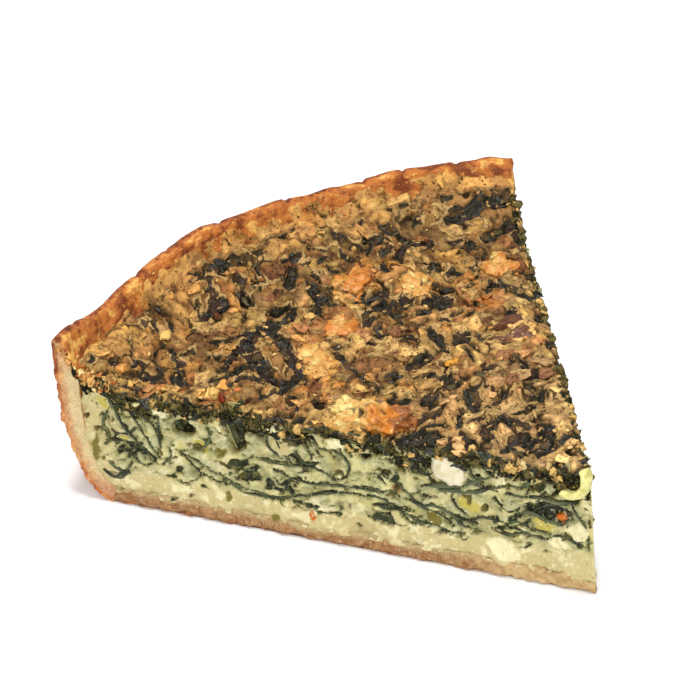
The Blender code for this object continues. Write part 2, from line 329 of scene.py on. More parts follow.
def flakes(points, width, seed=0):
    """Tilted flakes of this width: height on the flake, its tone from 0 to 1, and the way to its edge."""
    place = points[:, :2] / width + seed * 3.17
    cell = np.column_stack([np.floor(place).astype(int), np.full(len(place), seed)])
    nearest = np.full(len(points), 9.0)
    second = nearest.copy()
    number = np.zeros(len(points), dtype=int)
    away = np.zeros((len(points), 2))
    for step in NEIGHBOURS[::3]:
        there = cell + (step[0], step[1], 0)
        picked = looked_up(there)
        off = place - there[:, :2] - 0.5 - 0.45 * WAYS[picked, :2]
        distance = np.hypot(off[:, 0], off[:, 1])
        closer = distance < nearest
        second = np.where(closer, nearest, np.minimum(second, distance))
        nearest = np.where(closer, distance, nearest)
        number[closer] = picked[closer]
        away[closer] = off[closer]
    tilt = WAYS[(number + 7) & 255]
    height = (away * tilt[:, :2]).sum(axis=1) + 0.5 * tilt[:, 2]
    return height, SHUFFLED[number] / 255, (second - nearest) * width


check = swells(np.random.default_rng(1).uniform(0, 90, (2000, 3)), 5)
print(f"noise runs from {check.min():.2f} to {check.max():.2f}")

# %% [markdown]
# ## From a flat sheet to a wedge
#
# The top of the filling and the pastry base are three-cornered sheets with one round side. A triangle
# that is cut into small triangles has facets of the same size all over, where a round grid would crowd
# them at the tip. Its straight third side is then pushed out to the arc.

# %% Blanks for the wedge shapes
AT_CUT = 1e-4  # how near a cut side's angle still counts as in it, in radians


def three_cornered_sheet(cuts):
    """A flat triangle of small triangles, with its tip at the origin."""
    bm = bmesh.new()
    bm.faces.new([bm.verts.new(p) for p in ((0, 0, 0), right_way, left_way)])
    bmesh.ops.subdivide_edges(bm, edges=bm.edges, cuts=cuts - 1, use_grid_fill=True)
    return bm


def three_cornered_ring(along_cut, along_arc):
    """One face with three sides, whose sides are cut into many short edges."""
    bm = bmesh.new()
    bm.faces.new([bm.verts.new(p) for p in ((0, 0, 0), right_way, left_way)])
    for edge in list(bm.edges):
        at_tip = min(vert.co.length for vert in edge.verts) < 0.5
        cuts = (along_cut if at_tip else along_arc) - 1
        bmesh.ops.subdivide_edges(bm, edges=[edge], cuts=cuts)
    return bm


def drawn_down(bm, rows):
    """Draws the open edge, or a lone face's edge, down row by row, and closes it at the bottom."""
    if len(bm.faces) == 1:
        edges = list(bm.edges)
    else:
        edges = [edge for edge in bm.edges if edge.is_boundary]
    for row in range(1, rows + 1):
        made = bmesh.ops.extrude_edge_only(bm, edges=edges)["geom"]
        edges = [part for part in made if isinstance(part, bmesh.types.BMEdge) and part.is_boundary]
        for part in made:
            if isinstance(part, bmesh.types.BMVert):
                part.co.z = -row
    bmesh.ops.contextual_create(bm, geom=edges)
    bmesh.ops.recalc_face_normals(bm, faces=bm.faces)


def wedge_places(flat):
    """Share of the radius and angle from the left cut, for the points of a flat blank."""
    angle = half_angle + np.arctan2(flat[:, 0], flat[:, 1])
    chord = math.cos(half_angle) / np.cos(angle - half_angle)
    return np.hypot(flat[:, 0], flat[:, 1]) / chord, np.clip(angle, 0, SLICE_ANGLE)


def cut_sides(angle):
    """For each cut side: the way out of it, and which of the points lie in it."""
    return (left_outward, angle < AT_CUT), (right_outward, angle > SLICE_ANGLE - AT_CUT)


def places_of(mesh):
    co = np.empty(len(mesh.vertices) * 3, dtype=np.float32)
    mesh.vertices.foreach_get("co", co)
    return co.reshape(-1, 3).astype(float)


def mesh_from(bm, name):
    mesh = bpy.data.meshes.new(name)
    bm.to_mesh(mesh)
    bm.free()
    return mesh


def merged(mesh, distance):
    """Merges vertices nearer than this, and turns all faces outward."""
    bm = bmesh.new()
    bm.from_mesh(mesh)
    bmesh.ops.remove_doubles(bm, verts=bm.verts, dist=distance)
    bmesh.ops.recalc_face_normals(bm, faces=bm.faces)
    bm.to_mesh(mesh)
    bm.free()


def set_places(mesh, places):
    """Moves a mesh's vertices to these places, given in millimetres."""
    mesh.vertices.foreach_set("co", (places * MM).astype(np.float32).ravel())
    mesh.update()


def shown(name, mesh, finish_used, body_slot, *nodes):
    """Puts a finished mesh in the scene as a piece of the slice."""
    mesh.materials.clear()
    mesh.materials.append(finish_used)
    mesh.shade_smooth()
    piece = bpy.data.objects.new(name, mesh)
    bpy.context.scene.collection.objects.link(piece)
    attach(piece, "root")
    if nodes:
        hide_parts(*nodes)
    print(f"{name}: {sum(len(face.vertices) - 2 for face in mesh.polygons)} triangles")
    return piece


def paint(mesh, **layers):
    """Stores, under each name, one number, or one colour or place, for each vertex."""
    for name, values in layers.items():
        values = np.asarray(values, dtype=np.float32)
        single = values.ndim == 1
        layer = mesh.attributes.new(name, "FLOAT" if single else "FLOAT_VECTOR", "POINT")
        layer.data.foreach_set("value" if single else "vector", values.ravel())


# %% [markdown]
# ## Colours and finishes
#
# A colour is written as it is seen in even daylight, from 0 to 255. The room is a little brighter than
# that, so a finish's own colour is the linear value of what is seen, divided by the light that falls on
# it. Finishes are small node trees, and these helpers keep them short. A helper that is given a node's
# output finds the tree from it.

# %% Colour and node helpers
LIGHT_LEVEL = 1.25
SHADER = "Principled BSDF"


def seen(*colour):
    """The linear colour of a finish that is seen as this colour."""
    share = np.array(colour) / 255
    return np.where(share <= 0.04045, share / 12.92, ((share + 0.055) / 1.055) ** 2.4) / LIGHT_LEVEL


def add(tree, kind, inputs=None, **settings):
    """Adds a shader node. An input is a value or another node's output."""
    made = tree.nodes.new("ShaderNode" + kind)
    for name, value in settings.items():
        setattr(made, name, value)
    for socket, value in (inputs or {}).items():
        if isinstance(value, bpy.types.NodeSocket):
            tree.links.new(value, made.inputs[socket])
        else:
            made.inputs[socket].default_value = value
    return made


def attribute(tree, name, output="Fac"):
    return add(tree, "Attribute", attribute_name=name).outputs[output]


def noise_of(tree, width, detail=2.0, roughness=0.5, vector=None):
    """Noise from 0 to 1 with lumps of this width in millimetres, over the object's own coordinates."""
    vector = vector or add(tree, "TexCoord").outputs["Object"]
    inputs = {"Vector": vector, "Scale": 1 / (width * MM), "Detail": detail, "Roughness": roughness}
    return add(tree, "TexNoise", inputs).outputs["Fac"]


def between(value, low, high, to_low=0.0, to_high=1.0):
    """A smooth step from to_low to to_high as value goes from low to high."""
    inputs = {"Value": value, "From Min": low, "From Max": high, "To Min": to_low, "To Max": to_high}
    return add(value.id_data, "MapRange", inputs, interpolation_type="SMOOTHSTEP").outputs["Result"]


def maths(operation, *values):
    return add(values[0].id_data, "Math", dict(enumerate(values)), operation=operation).outputs[0]


def mixed(share, first, second, kind="MIX"):
    """Two colours mixed. A colour is three numbers or a node's output."""
    tree = share.id_data
    made = tree.nodes.new("ShaderNodeMix")
    made.data_type = "RGBA"
    made.blend_type = kind
    for socket, value in ((made.inputs[0], share), (made.inputs[6], first), (made.inputs[7], second)):
        if isinstance(value, bpy.types.NodeSocket):
            tree.links.new(value, socket)
        elif np.ndim(value):
            socket.default_value = (*value, 1)
        else:
            socket.default_value = value
    return made.outputs[2]


def ramp(value, low, high, first, second):
    """One colour that turns into another as value goes from low to high."""
    return mixed(between(value, low, high), first, second)


def tinted(colour, *layers):
    """Colours laid over one. Each layer is a value, the two ends of its step, its share and its colour."""
    for value, low, high, share, tint in layers:
        colour = mixed(between(value, low, high, 0, share), colour, tint)
    return colour


def stirred(noise_value, amount, value):
    """A value moved up and down by this much noise."""
    return maths("MULTIPLY_ADD", maths("SUBTRACT", noise_value, 0.5), amount, value)


def finish(name, shine):
    """A new material, and its node tree."""
    made = bpy.data.materials.new(name)
    made.use_nodes = True
    made.node_tree.nodes[SHADER].inputs["Specular IOR Level"].default_value = shine
    return made, made.node_tree


def dressed(made, colour, roughness, relief, distance, strength):
    """Joins a finish's colour, roughness and relief to its shader. Distance is the relief's height in mm."""
    tree = made.node_tree
    bump = add(tree, "Bump", {"Height": relief, "Distance": distance * MM, "Strength": strength})
    ends = {"Base Color": colour, "Roughness": roughness, "Normal": bump.outputs["Normal"]}
    for socket, value in ends.items():
        if isinstance(value, bpy.types.NodeSocket):
            tree.links.new(value, tree.nodes[SHADER].inputs[socket])
        else:
            tree.nodes[SHADER].inputs[socket].default_value = value
    return made


TAN = seen(162, 120, 72)
GOLDEN = seen(206, 150, 76)
CREAM = seen(228, 188, 122)
BROWN = seen(100, 70, 38)
YELLOW_CREAM = seen(212, 174, 98)
PURPLE_BROWN = seen(104, 62, 46)
REDDISH = seen(156, 88, 54)
ORANGE = seen(194, 116, 54)
PEACH = seen(192, 134, 86)
THIN_CUSTARD = seen(96, 68, 32)
LEAF = seen(24, 21, 10)
# The light end of the top's leaves is a painted highlight on their raised wrinkles.
LEAF_HIGHLIGHT = seen(76, 72, 60)
LEAF_GREEN = seen(50, 56, 22)
CUSTARD = seen(222, 212, 148)
PALE_CUSTARD = seen(210, 193, 136)
SMEAR = seen(142, 144, 100)
BRIGHT = seen(244, 234, 184)
YELLOW = seen(200, 184, 84)
STALK = seen(122, 112, 34)
# Olive painted shade for the hollows in a cut side.
HOLE_SHADE = seen(98, 88, 38)
PINK_CREAM = seen(234, 184, 124)
print("tan as a finish:", np.round(TAN, 3))

# %% [markdown]
# ## Where the leaves lie in the browned top
#
# The spinach in the top lies as torn, flattened leaves, dark and a little glossy, with browned custard
# between and over them. The larger ones are laid out one by one, each as an oval with its middle, length,
# width and turn. Many small scraps are strewn between them. The ovals' edges are torn by noise later, so
# an oval only says where a leaf is and which way it runs. Places are in millimetres, to the right of the
# tip and behind the middle of the slice.

# %% Leaves in the top
# x, y, length, width, turn in degrees
LEAVES_AT_RIM = (
    (-53.5, 38.2, 9, 3.2, -20), (-62, 37.5, 6, 1.2, 10), (-46.5, 37.5, 3, 1.5, 45),
    (-44.5, 47.8, 5, 1.5, 25), (-61.5, 41.5, 2, 1.5, 0), (-48.5, 32.5, 5, 1.8, 70),
    (-52, 31, 7, 3, -70), (-46.5, 28, 5.5, 3, 60), (-43, 33, 7, 1.8, 75), (-41, 39, 4, 1, 60),
    (-57.5, 32, 5, 1.6, -60), (-32, 26.5, 13, 2.2, 25), (-27.8, 24.5, 10, 4.5, 75),
    (-29, 17.5, 8, 4.5, 45), (-37, 19.8, 9, 1.5, 5), (-38, 16.8, 3, 1.5, 0), (-17.5, 31.5, 9, 4, 10),
    (-25, 32.5, 6, 1.5, -10), (-30, 34, 4, 1, 5), (-23, 47, 11, 5, 20), (-14.3, 46.5, 5, 2.2, 80),
    (-13.5, 55.3, 11, 2.4, -5), (-14.7, 55.5, 5, 2.5, 70), (-22, 55.5, 3, 1.2, 0), (-12, 51, 3, 2.5, 0),
    (-9.5, 49, 2.5, 2, 0), (-6.5, 52, 4, 1, 70), (-11, 38, 6, 4, 0), (-10, 33.5, 4, 2.5, 60),
    (-3, 56, 3, 2, 0), (4, 51.3, 6, 2.4, 10), (8, 47, 6, 2.5, 15), (16, 46, 5, 2.5, 70),
    (20, 48.5, 2.5, 1.5, 0), (26.5, 47, 3, 2.5, 0), (24, 48.5, 2, 1.5, 0), (31.5, 47, 7, 3, -60),
    (26, 54.5, 3.5, 2.5, 0), (42, 51.3, 2.5, 1.2, 0), (-1, 45.5, 9, 3, 50), (52, 42, 14, 3.5, -5),
    (60, 39, 9, 3.2, -35), (53, 31.5, 11, 3.6, 12), (50, 48, 4, 1.5, 20), (49, 44.5, 3, 1.5, 0),
    (30, 41, 8, 3, -10), (24.5, 41, 3, 2, 0), (36, 39.5, 4, 3, 0), (33, 43.5, 3, 1.5, 40),
)
LEAVES_IN_MIDDLE = (
    (-18.6, 27.5, 5, 1.9, 85), (-19.2, 24, 5, 1.8, 80), (-20.5, 20, 6, 1.8, 68), (-22.6, 15.5, 6, 1.8, 70),
    (-24.5, 11.5, 6, 1.9, 50), (-28, 9, 5, 1.6, 10), (0, 37, 8, 3.5, 75), (-4, 31, 7, 1.6, 60),
    (10.5, 26.8, 8, 3, 5), (7.5, 29, 3, 1.5, 30), (8, 22.5, 7, 2.5, 25), (1.5, 18, 5, 3, 45),
    (8, 18, 5, 2, 60), (-6, 18.5, 6, 3, 30), (14, 13, 4, 3, 0), (1, 12.5, 4, 2.5, -70),
    (7.5, 12.5, 4, 2, 70), (20.5, 15.5, 8, 7, 60), (26, 22, 8, 4, -60), (19.5, 35, 5, 2, 60),
    (29, 38.5, 3, 1.5, 0), (42, 35.5, 3, 2, 0), (44, 31.5, 5, 2.5, 50), (42, 26, 6, 1.2, 30),
    (53, 20.5, 6, 2, 50), (41, 16, 4, 2.5, 60), (36, 18, 6, 1.5, -65), (45, 11.5, 3, 2, 0),
    (35, 12, 5, 2, -15), (-30, 10.5, 6, 3.5, 10), (-24, 11, 4, 2.5, 0), (-37, 8, 2, 1.5, 0),
    (-41, 17, 3, 2, 0), (-19, 2.2, 5, 1, 20), (-29, -1.5, 5, 2.5, 60), (-32, 4, 4, 2, 60),
    (-37, 0, 4, 2, -60), (-7, -3, 4, 3, 60), (0.5, -2.2, 8, 3.5, 10), (9, 2, 9, 2.5, 75),
    (14, -1, 6, 4, 20), (10.5, -7.5, 4.5, 1.8, 75), (-2, -9.5, 4.5, 2.5, -30), (0, -14, 7, 4.5, 80),
    (33.5, -8, 9, 5, 75), (41, -2.5, 5, 2.2, 80), (24.5, -8, 4, 2, 0), (39.5, 4, 9, 2.5, -65),
    (31, 1, 4, 1.5, 50), (22, 6, 4, 2.5, 50), (44, 14, 3, 2, 0), (14, 20, 6, 3, 30), (17, 8, 4, 2, 60),
    (30, 30, 5, 2, -70), (38, 30, 4, 2, -60), (33, 24, 5, 2, -60), (4, 6, 5, 1.8, -60),
)
LEAVES_AT_TIP = (
    (-16, -21.8, 12, 3, 3), (-19, -27, 12, 5, -15), (-8, -16.5, 6, 4, 0), (-14, -14, 4, 3, 0),
    (-1, -23, 8, 4, 60), (6, -24.5, 2.5, 1.5, 0), (-8.5, -27.5, 8, 1.6, 40), (-6, -30, 5, 1.5, 0),
    (-20, -31, 5, 2.5, 30), (-12, -35, 6, 2.8, 85), (-5.5, -33.5, 5, 2, 45), (-8, -36.5, 5, 2.5, 60),
    (0, -36, 8, 2.5, -60), (4, -34.5, 4.5, 2.8, -10), (-4.5, -43, 12, 6, 20), (4, -43.5, 7, 4, 60),
    (-3, -48, 12, 4, 0), (6, -48, 6, 2, 25), (3, -52.5, 4, 3, 70), (-5, -57, 8, 3, 50),
    (-2, -56.5, 5, 1.2, 55), (2, -58, 7, 2, 60), (-15, -42, 3, 2, 0), (-13, -41, 4, 2.5, 60),
    (-14, -37, 4, 2, 60), (17.5, -19, 4, 1.8, 75), (28, -16.5, 5, 2, 30), (11, -14, 4, 2, 0),
    (8, -15, 3, 2, 0), (12, -31.5, 4, 2.5, 30), (7.5, -32.5, 1.5, 1.5, 0), (18, -32, 2, 1.2, 0),
    (8, -38, 2, 2, 0), (3, -19, 4, 2, 20), (-11, -24, 4, 2, -30), (-16, -47, 4, 2.4, 60),
    (-12, -50, 5, 2.5, 60), (-9, -53, 5, 2.5, 60),
)
LEAF_SWELL = 0.15
SCRAP_COUNT = 100
# Long strips of leaf, each with its width and a line of places
LEAF_STRIPS = (
    (2.2, ((-38, 24), (-34, 26), (-30, 28), (-25, 30), (-20, 33))),
    (3.4, ((-29.5, 28), (-29, 24), (-30, 19), (-31.5, 14))),
    (1.9, ((-19, 30), (-19.3, 26), (-20.5, 22), (-22.5, 17), (-23.5, 13), (-25, 9))),
    (1.6, ((-41, 20), (-36, 19.6), (-32, 19.8))),
    (1.3, ((-38.5, 17), (-34, 14.5))),
    (2.0, ((-34, 14), (-30, 11), (-25, 10))),
    (1.3, ((-41.5, 39), (-42, 35), (-42.5, 30))),
    (1.6, ((-32, 35), (-28, 33.4), (-24, 33))),
    (3.0, ((-22, 33.5), (-17, 33), (-13, 31.5))),
    (1.6, ((3, 22), (9, 20.5), (15, 21.5), (20, 18))),
    (2.2, ((24, 36), (30, 40), (33, 45))),
    (1.2, ((33, 26), (34.5, 21), (37.5, 16))),
    (1.8, ((38, 13), (40, 7), (42, 2))),
    (1.5, ((8, 4), (8.5, 0), (7, -5))),
    (1.3, ((-13, 12), (-13.5, 8), (-13, 4))),
)
# Patches of custard with no leaf in them: x, y, length, width, turn
BARE_PATCHES = (
    (-50, 46, 20, 7, 25), (-33, 32, 10, 5, 15), (-34.5, 22.3, 8, 2.8, 20), (-25.6, 20, 15, 4, 78),
    (-15, 17, 22, 8, 66), (-30, 52, 16, 9, 20), (-5, 7, 12, 8, 10), (17, 57, 28, 6, -4),
    (38, 52, 16, 6, -35), (50, 36.5, 12, 4, 10), (28, 8, 9, 4, -10), (36, 27, 5, 9, 10),
    (-9, 26, 9, 5, 30), (46, 22, 6, 9, -20), (27, 29, 6, 6, 0), (10, 36, 12, 6, 40),
    (21, 27, 12, 6, 65), (5, 26, 5, 4, 0), (18, -13, 9, 5, 20), (13, -24, 8, 5, 0), (10, -38, 7, 5, 0),
)
SCRAP_LENGTHS = (1.2, 4.5)
SCRAP_WIDTHS = (0.5, 1.4)


def strewn_on_top(count, seed):
    """Places on the top, evenly spread: to the right of the tip, and behind the slice's middle."""
    draw = np.random.default_rng(seed)
    radius = INNER_RADIUS * np.sqrt(draw.uniform(0.0015, 0.99, count))
    turn = draw.uniform(-half_angle, half_angle, count)
    return np.column_stack([radius * np.sin(turn), radius * np.cos(turn) + TIP[1]])


def scraps():
    draw = np.random.default_rng(21)
    places = strewn_on_top(SCRAP_COUNT, 22)
    flow = 90 * swells(np.column_stack([places, np.zeros(SCRAP_COUNT)]), 22, 5)
    return np.column_stack([
        places,
        draw.uniform(*SCRAP_LENGTHS, SCRAP_COUNT),
        draw.uniform(*SCRAP_WIDTHS, SCRAP_COUNT),
        35 + flow + draw.normal(0, 35, SCRAP_COUNT),
    ])


def in_oval(points, oval):
    """How far along and across an oval points lie, and how far inside its edge."""
    x, y, length, width, turn = oval
    cos, sin = math.cos(math.radians(turn)), math.sin(math.radians(turn))
    dx, dy = points[:, 0] - x, points[:, 1] - y
    along, across = dx * cos + dy * sin, dy * cos - dx * sin
    return along, across, (1 - np.hypot(2 * along / length, 2 * across / width)) * width / 2


def near_line(points, line):
    """Distance from points to a line of places, and how far along it they are."""
    best = np.full(len(points), 99.0)
    along = np.zeros(len(points))
    done = 0.0
    for start, end in zip(line, line[1:]):
        start, step = np.array(start), np.subtract(end, start)
        share = np.clip(((points[:, :2] - start) @ step) / (step @ step), 0, 1)
        away = np.linalg.norm(points[:, :2] - start - share[:, None] * step, axis=1)
        along = np.where(away < best, done + share * np.linalg.norm(step), along)
        best = np.minimum(best, away)
        done += float(np.linalg.norm(step))
    return best, along


def torn(points, wide=0.9, fine=0.35):
    """Places shifted by noise, so that an oval's edge comes out torn."""
    shift = [wide * swells(points, 3.2, 31 + i) + fine * swells(points, 1.1, 33 + i) for i in range(2)]
    return points[:, :2] + np.column_stack(shift)


def leaf_field(points):
    """How far inside a leaf each point is, and where it lies on that leaf."""
    shifted = torn(points)
    depth = np.full(len(points), -9.0)
    on_leaf = np.zeros((len(points), 3))
    for number, oval in enumerate((*LEAVES_AT_RIM, *LEAVES_IN_MIDDLE, *LEAVES_AT_TIP, *scraps())):
        along, across, inside = in_oval(shifted, oval)
        nearer = inside > depth
        depth[nearer] = inside[nearer]
        on_leaf[nearer] = np.column_stack([along, across, np.full(len(along), number * 5.0)])[nearer]
    for patch in BARE_PATCHES:
        depth = np.minimum(depth, -in_oval(shifted, patch)[2] * 1.4)
    for width, line in LEAF_STRIPS:
        away, along = near_line(shifted, line)
        inside = width / 2 - away
        nearer = inside > depth
        depth[nearer] = inside[nearer]
        on_leaf[nearer] = np.column_stack([along, away, np.full(len(away), width * 31)])[nearer]
    depth += LEAF_SWELL
    # Curly ribbons of custard lie over the leaves, and curly cracks run through the custard.
    flat = points * (1, 1, 0)
    curly = flat.copy()
    curly[:, 0] += 2.2 * swells(flat, 6, 35)
    curly[:, 1] += 2.2 * swells(flat, 6, 36)
    ribbon = np.abs(rough(curly, 5.5, 37, 2, 0.3)) * 2.8 - 0.35 - 0.5 * swells(flat, 4, 38)
    ribboned = smooth(0.1 + 2 * swells(flat, 12, 39))
    depth = np.minimum(depth, ribbon * ribboned + 3 * (1 - ribboned))
    crack = 0.05 - np.abs(rough(curly, 6.5, 40, 2, 0.4)) * 3.6 + 0.6 * swells(flat, 4, 46)
    return np.maximum(depth, crack), on_leaf


hand_laid = len(LEAVES_AT_RIM) + len(LEAVES_IN_MIDDLE) + len(LEAVES_AT_TIP)
print(hand_laid, "leaves laid by hand and", SCRAP_COUNT, "scraps")

# %% [markdown]
# The browned custard between the leaves isn't one colour. It's tan, with golden and cream parts where it
# stood proud, purple-brown parts where it dried over a leaf, and orange ones where cheese melted in. Each
# of these is a soft round stain with a middle, a size and a colour.

# %% Stains in the browned custard
# x, y, size, colour
STAINS = (
    (-30, 52, 8, PEACH), (-34, 31, 6, TAN), (-50, 45, 9, GOLDEN), (-38, 50, 3, GOLDEN),
    (-33, 48, 3, PURPLE_BROWN), (-30, 41.5, 4, PURPLE_BROWN), (-24, 55, 4, PURPLE_BROWN),
    (-36, 37, 4, PURPLE_BROWN), (0, 46, 5, PURPLE_BROWN), (8, 52, 4, PURPLE_BROWN),
    (2, 57.5, 2, PURPLE_BROWN), (26, 54.5, 2.4, PURPLE_BROWN), (-3.5, -42.5, 6, PURPLE_BROWN),
    (-23, 8, 4, ORANGE), (-18, 14, 5, ORANGE), (-14, 19, 4, PEACH), (5.5, -9.5, 3, ORANGE),
    (27, 8, 4, REDDISH), (45, 23, 4, REDDISH), (44, 17, 4, ORANGE), (36, 25, 4, GOLDEN),
    (20, -15, 5, REDDISH), (12, -23, 4, REDDISH), (21.5, -26, 4, REDDISH), (51, 35, 5, PEACH),
    (61, 32, 4, REDDISH), (-3, 25, 4, ORANGE), (4, 26.5, 2, ORANGE), (38, 50, 8, CREAM),
    (22, 57, 6, CREAM), (58, 46, 5, GOLDEN), (35, 2, 4, CREAM), (10, -37, 5, GOLDEN),
    (5, -30, 6, PEACH), (-10, 7, 7, PEACH), (9, 37, 5, ORANGE), (21, 30, 6, GOLDEN), (26, -6, 5, REDDISH),
    (-44, 20, 4, CREAM), (8, -52, 5, CREAM), (-22, 39, 4, TAN), (14, -44, 5, CREAM),
)
# Pits, sunk and painted dark as shade: x, y, length, width, turn, depth
PITS = (
    (-11, 38, 5, 3.4, 0, 2.2), (26, 22, 7, 3.0, -60, 1.6), (36, 39.5, 3.6, 2.6, 0, 1.4),
    (8, 22.5, 6, 1.6, 25, 1.2), (35, 12, 4, 1.5, -15, 1.2), (-29, -1.5, 4, 2, 60, 1.6),
    (-20, -31, 4, 2, 30, 1.4), (3, -52.5, 3, 2.4, 70, 1.4), (-15, 46.5, 6, 2.6, 80, 2.0),
    (-32, 4, 3, 1.6, 60, 1.4), (-37, 0, 3, 1.6, -60, 1.4), (54, 46, 1.6, 1.6, 0, 1.2),
    (14, 7.5, 5, 1.2, 20, 0.9), (4, 41, 5, 1.4, 70, 1.2), (-4, 11, 5, 0.9, 60, 0.8),
    (-8, -21, 5, 1.2, 20, 1.0), (24, 35, 6, 1.4, 75, 1.3), (15, 30, 6, 1.4, 80, 1.2),
)
# Cracks as lines of places
CRACKS = (
    ((-57, 42), (-54, 43), (-51, 43.4)),
    ((-16.6, 9), (-16, 6.5), (-15.4, 4)),
    ((-21.5, 2), (-19, 2.4), (-16.5, 3.4)),
    ((-8, 12), (-9.5, 8), (-12, 5.5), (-13, 2)),
    ((-30, 14), (-31.5, 10), (-30.5, 6)),
    ((6, -20), (9, -24), (8.5, -28)),
    ((30, 55), (31, 51), (34, 48.5)),
    ((-40, 56), (-37, 53), (-36.5, 49)),
)


def stained(points, shifted):
    """Colour of the browned custard."""
    flat = points * (1, 1, 0)
    colour = np.tile(TAN, (len(points), 1))
    for seed, other, amount, width in (
        (41, GOLDEN, 0.9, 9), (46, PEACH, 0.8, 7), (42, PURPLE_BROWN, 0.9, 6), (43, CREAM, 0.95, 6),
        (44, ORANGE, 0.6, 5), (45, REDDISH, 0.8, 6), (47, YELLOW_CREAM, 0.95, 7),
    ):
        colour = over(colour, amount * smooth(rough(flat, width, seed, 3, 0.6) * 3.2 - 0.5), other)
    for x, y, size, other in STAINS:
        distance = np.hypot(shifted[:, 0] - x, shifted[:, 1] - y)
        colour = over(colour, 0.85 * smooth(1.35 - distance / size), other)
    return colour


print(len(STAINS), "stains,", len(PITS), "pits and", len(CRACKS), "cracks")

# %% [markdown]
# ## The browned top
#
# Its relief has four sizes: swells a finger wide, lumps of a few millimetres, grains of about one
# and a half, and fine roughness. Leaves lie lower than the custard round them and are wrinkled along
# their length, and the custard stands up in a thin lip where it meets them. The sheet has facets of a
# third of a millimetre, so that all of this is in the mesh, and only what is finer is left to the finish.

# %% Make the browned top
TOP_FACETS = 400
SKIRT_ROWS = 9
SKIRT_STEP = 0.42
LUMP_RELIEF = 1.25
LARGE_FLAKES = 1.0
SMALL_FLAKES = 0.3
LEAF_SINK = 0.6
FILM_HEIGHT = 40.0
FILM_THICKNESS = 0.5
FILM_END = 39.9  # height that the film of custard reaches on the pastry's slope
FILM_ENDS_SPREAD = 0.9
FILM_DROP_AT_CUT = 4.0
FILM_RECOVERY = math.radians(34)
LID_SHARE = 0.9
BROWNED_MORE = 0.3
BAND_GOLD = seen(212, 160, 92)
PALE_SKIN = seen(208, 178, 122)
LID_HEIGHT = 14
# The flakes' colours, dark to light
FLAKE_TONES = (0, 0.14, 0.2, 0.34, 0.4, 0.54, 0.6, 0.74, 0.8, 1)
FLAKE_COLOURS = (BROWN, PURPLE_BROWN, BROWN, TAN, PEACH, PEACH, ORANGE, GOLDEN, YELLOW_CREAM, CREAM)
RIM_PITS = ((24.6, 62.6, 1.4), (10.8, 64.0, 1.5), (38.8, 59.6, 1.4), (55.5, 50.2, 2.0), (-8, 62.8, 1.2))


def top_relief(points, depth, on_leaf):
    """Height of the fine relief over the filling's top, the share finer than a lump, and the flakes' tone."""
    flat = points * (1, 1, 0)
    bent = flat + np.column_stack([
        1.5 * swells(flat, 3.6, 66) + 0.3 * swells(flat, 1.2, 67),
        1.5 * swells(flat, 3.6, 68) + 0.3 * swells(flat, 1.2, 69),
        np.zeros(len(flat)),
    ])
    leafy = smooth(depth / 0.5 + 0.5)
    lumps = rough(flat, 8, 51, 2, 0.5)
    large, tone, gap = flakes(bent, 6.5, 3)
    small, fleck, small_gap = flakes(bent, 3.0, 4)
    custard = LARGE_FLAKES * large + SMALL_FLAKES * small + 0.16 * rough(flat, 1.5, 53, 2)
    custard += 0.3 * smooth(-depth / 1.4)
    custard -= 0.45 * np.exp(-((gap / 0.3) ** 2)) * smooth(0.6 + swells(flat, 5, 70))
    custard -= 0.15 * np.exp(-((small_gap / 0.3) ** 2))
    lip = 0.3 * np.exp(-(((depth + 0.4) / 0.35) ** 2)) * (0.4 + smooth(0.5 + swells(flat, 3.5, 58)))
    stretched = on_leaf / (3.2, 0.8, 1)
    wrinkles = 0.22 * (1 - 2.2 * np.abs(swells(stretched, 1.0, 54))) + 0.14 * swells(stretched, 0.5, 55)
    leaf = 0.4 * LARGE_FLAKES * large - LEAF_SINK + wrinkles
    rise = custard * (1 - leafy) + leaf * leafy + lip
    height = LUMP_RELIEF * lumps + rise
    shifted = torn(points, 0.5, 0.3)
    # Each pit is sunk, and its rise is lowered further, so that the finish paints it dark as shade.
    for x, y, length, width, turn, deep in PITS:
        inside = smooth(0.4 + in_oval(shifted, (x, y, length, width, turn))[2] / 0.9)
        height -= deep * inside
        rise = rise - 1.5 * inside
    for line in CRACKS:
        height -= 0.8 * np.exp(-((near_line(shifted, line)[0] / 0.32) ** 2))
    tone = np.where(swells(flat, 9, 72) > 0.35, fleck, tone)
    gap = gap + 0.8 * smooth(-0.1 - 1.5 * swells(flat, 7, 71))
    return height, rise, tone, np.minimum(gap, 3)


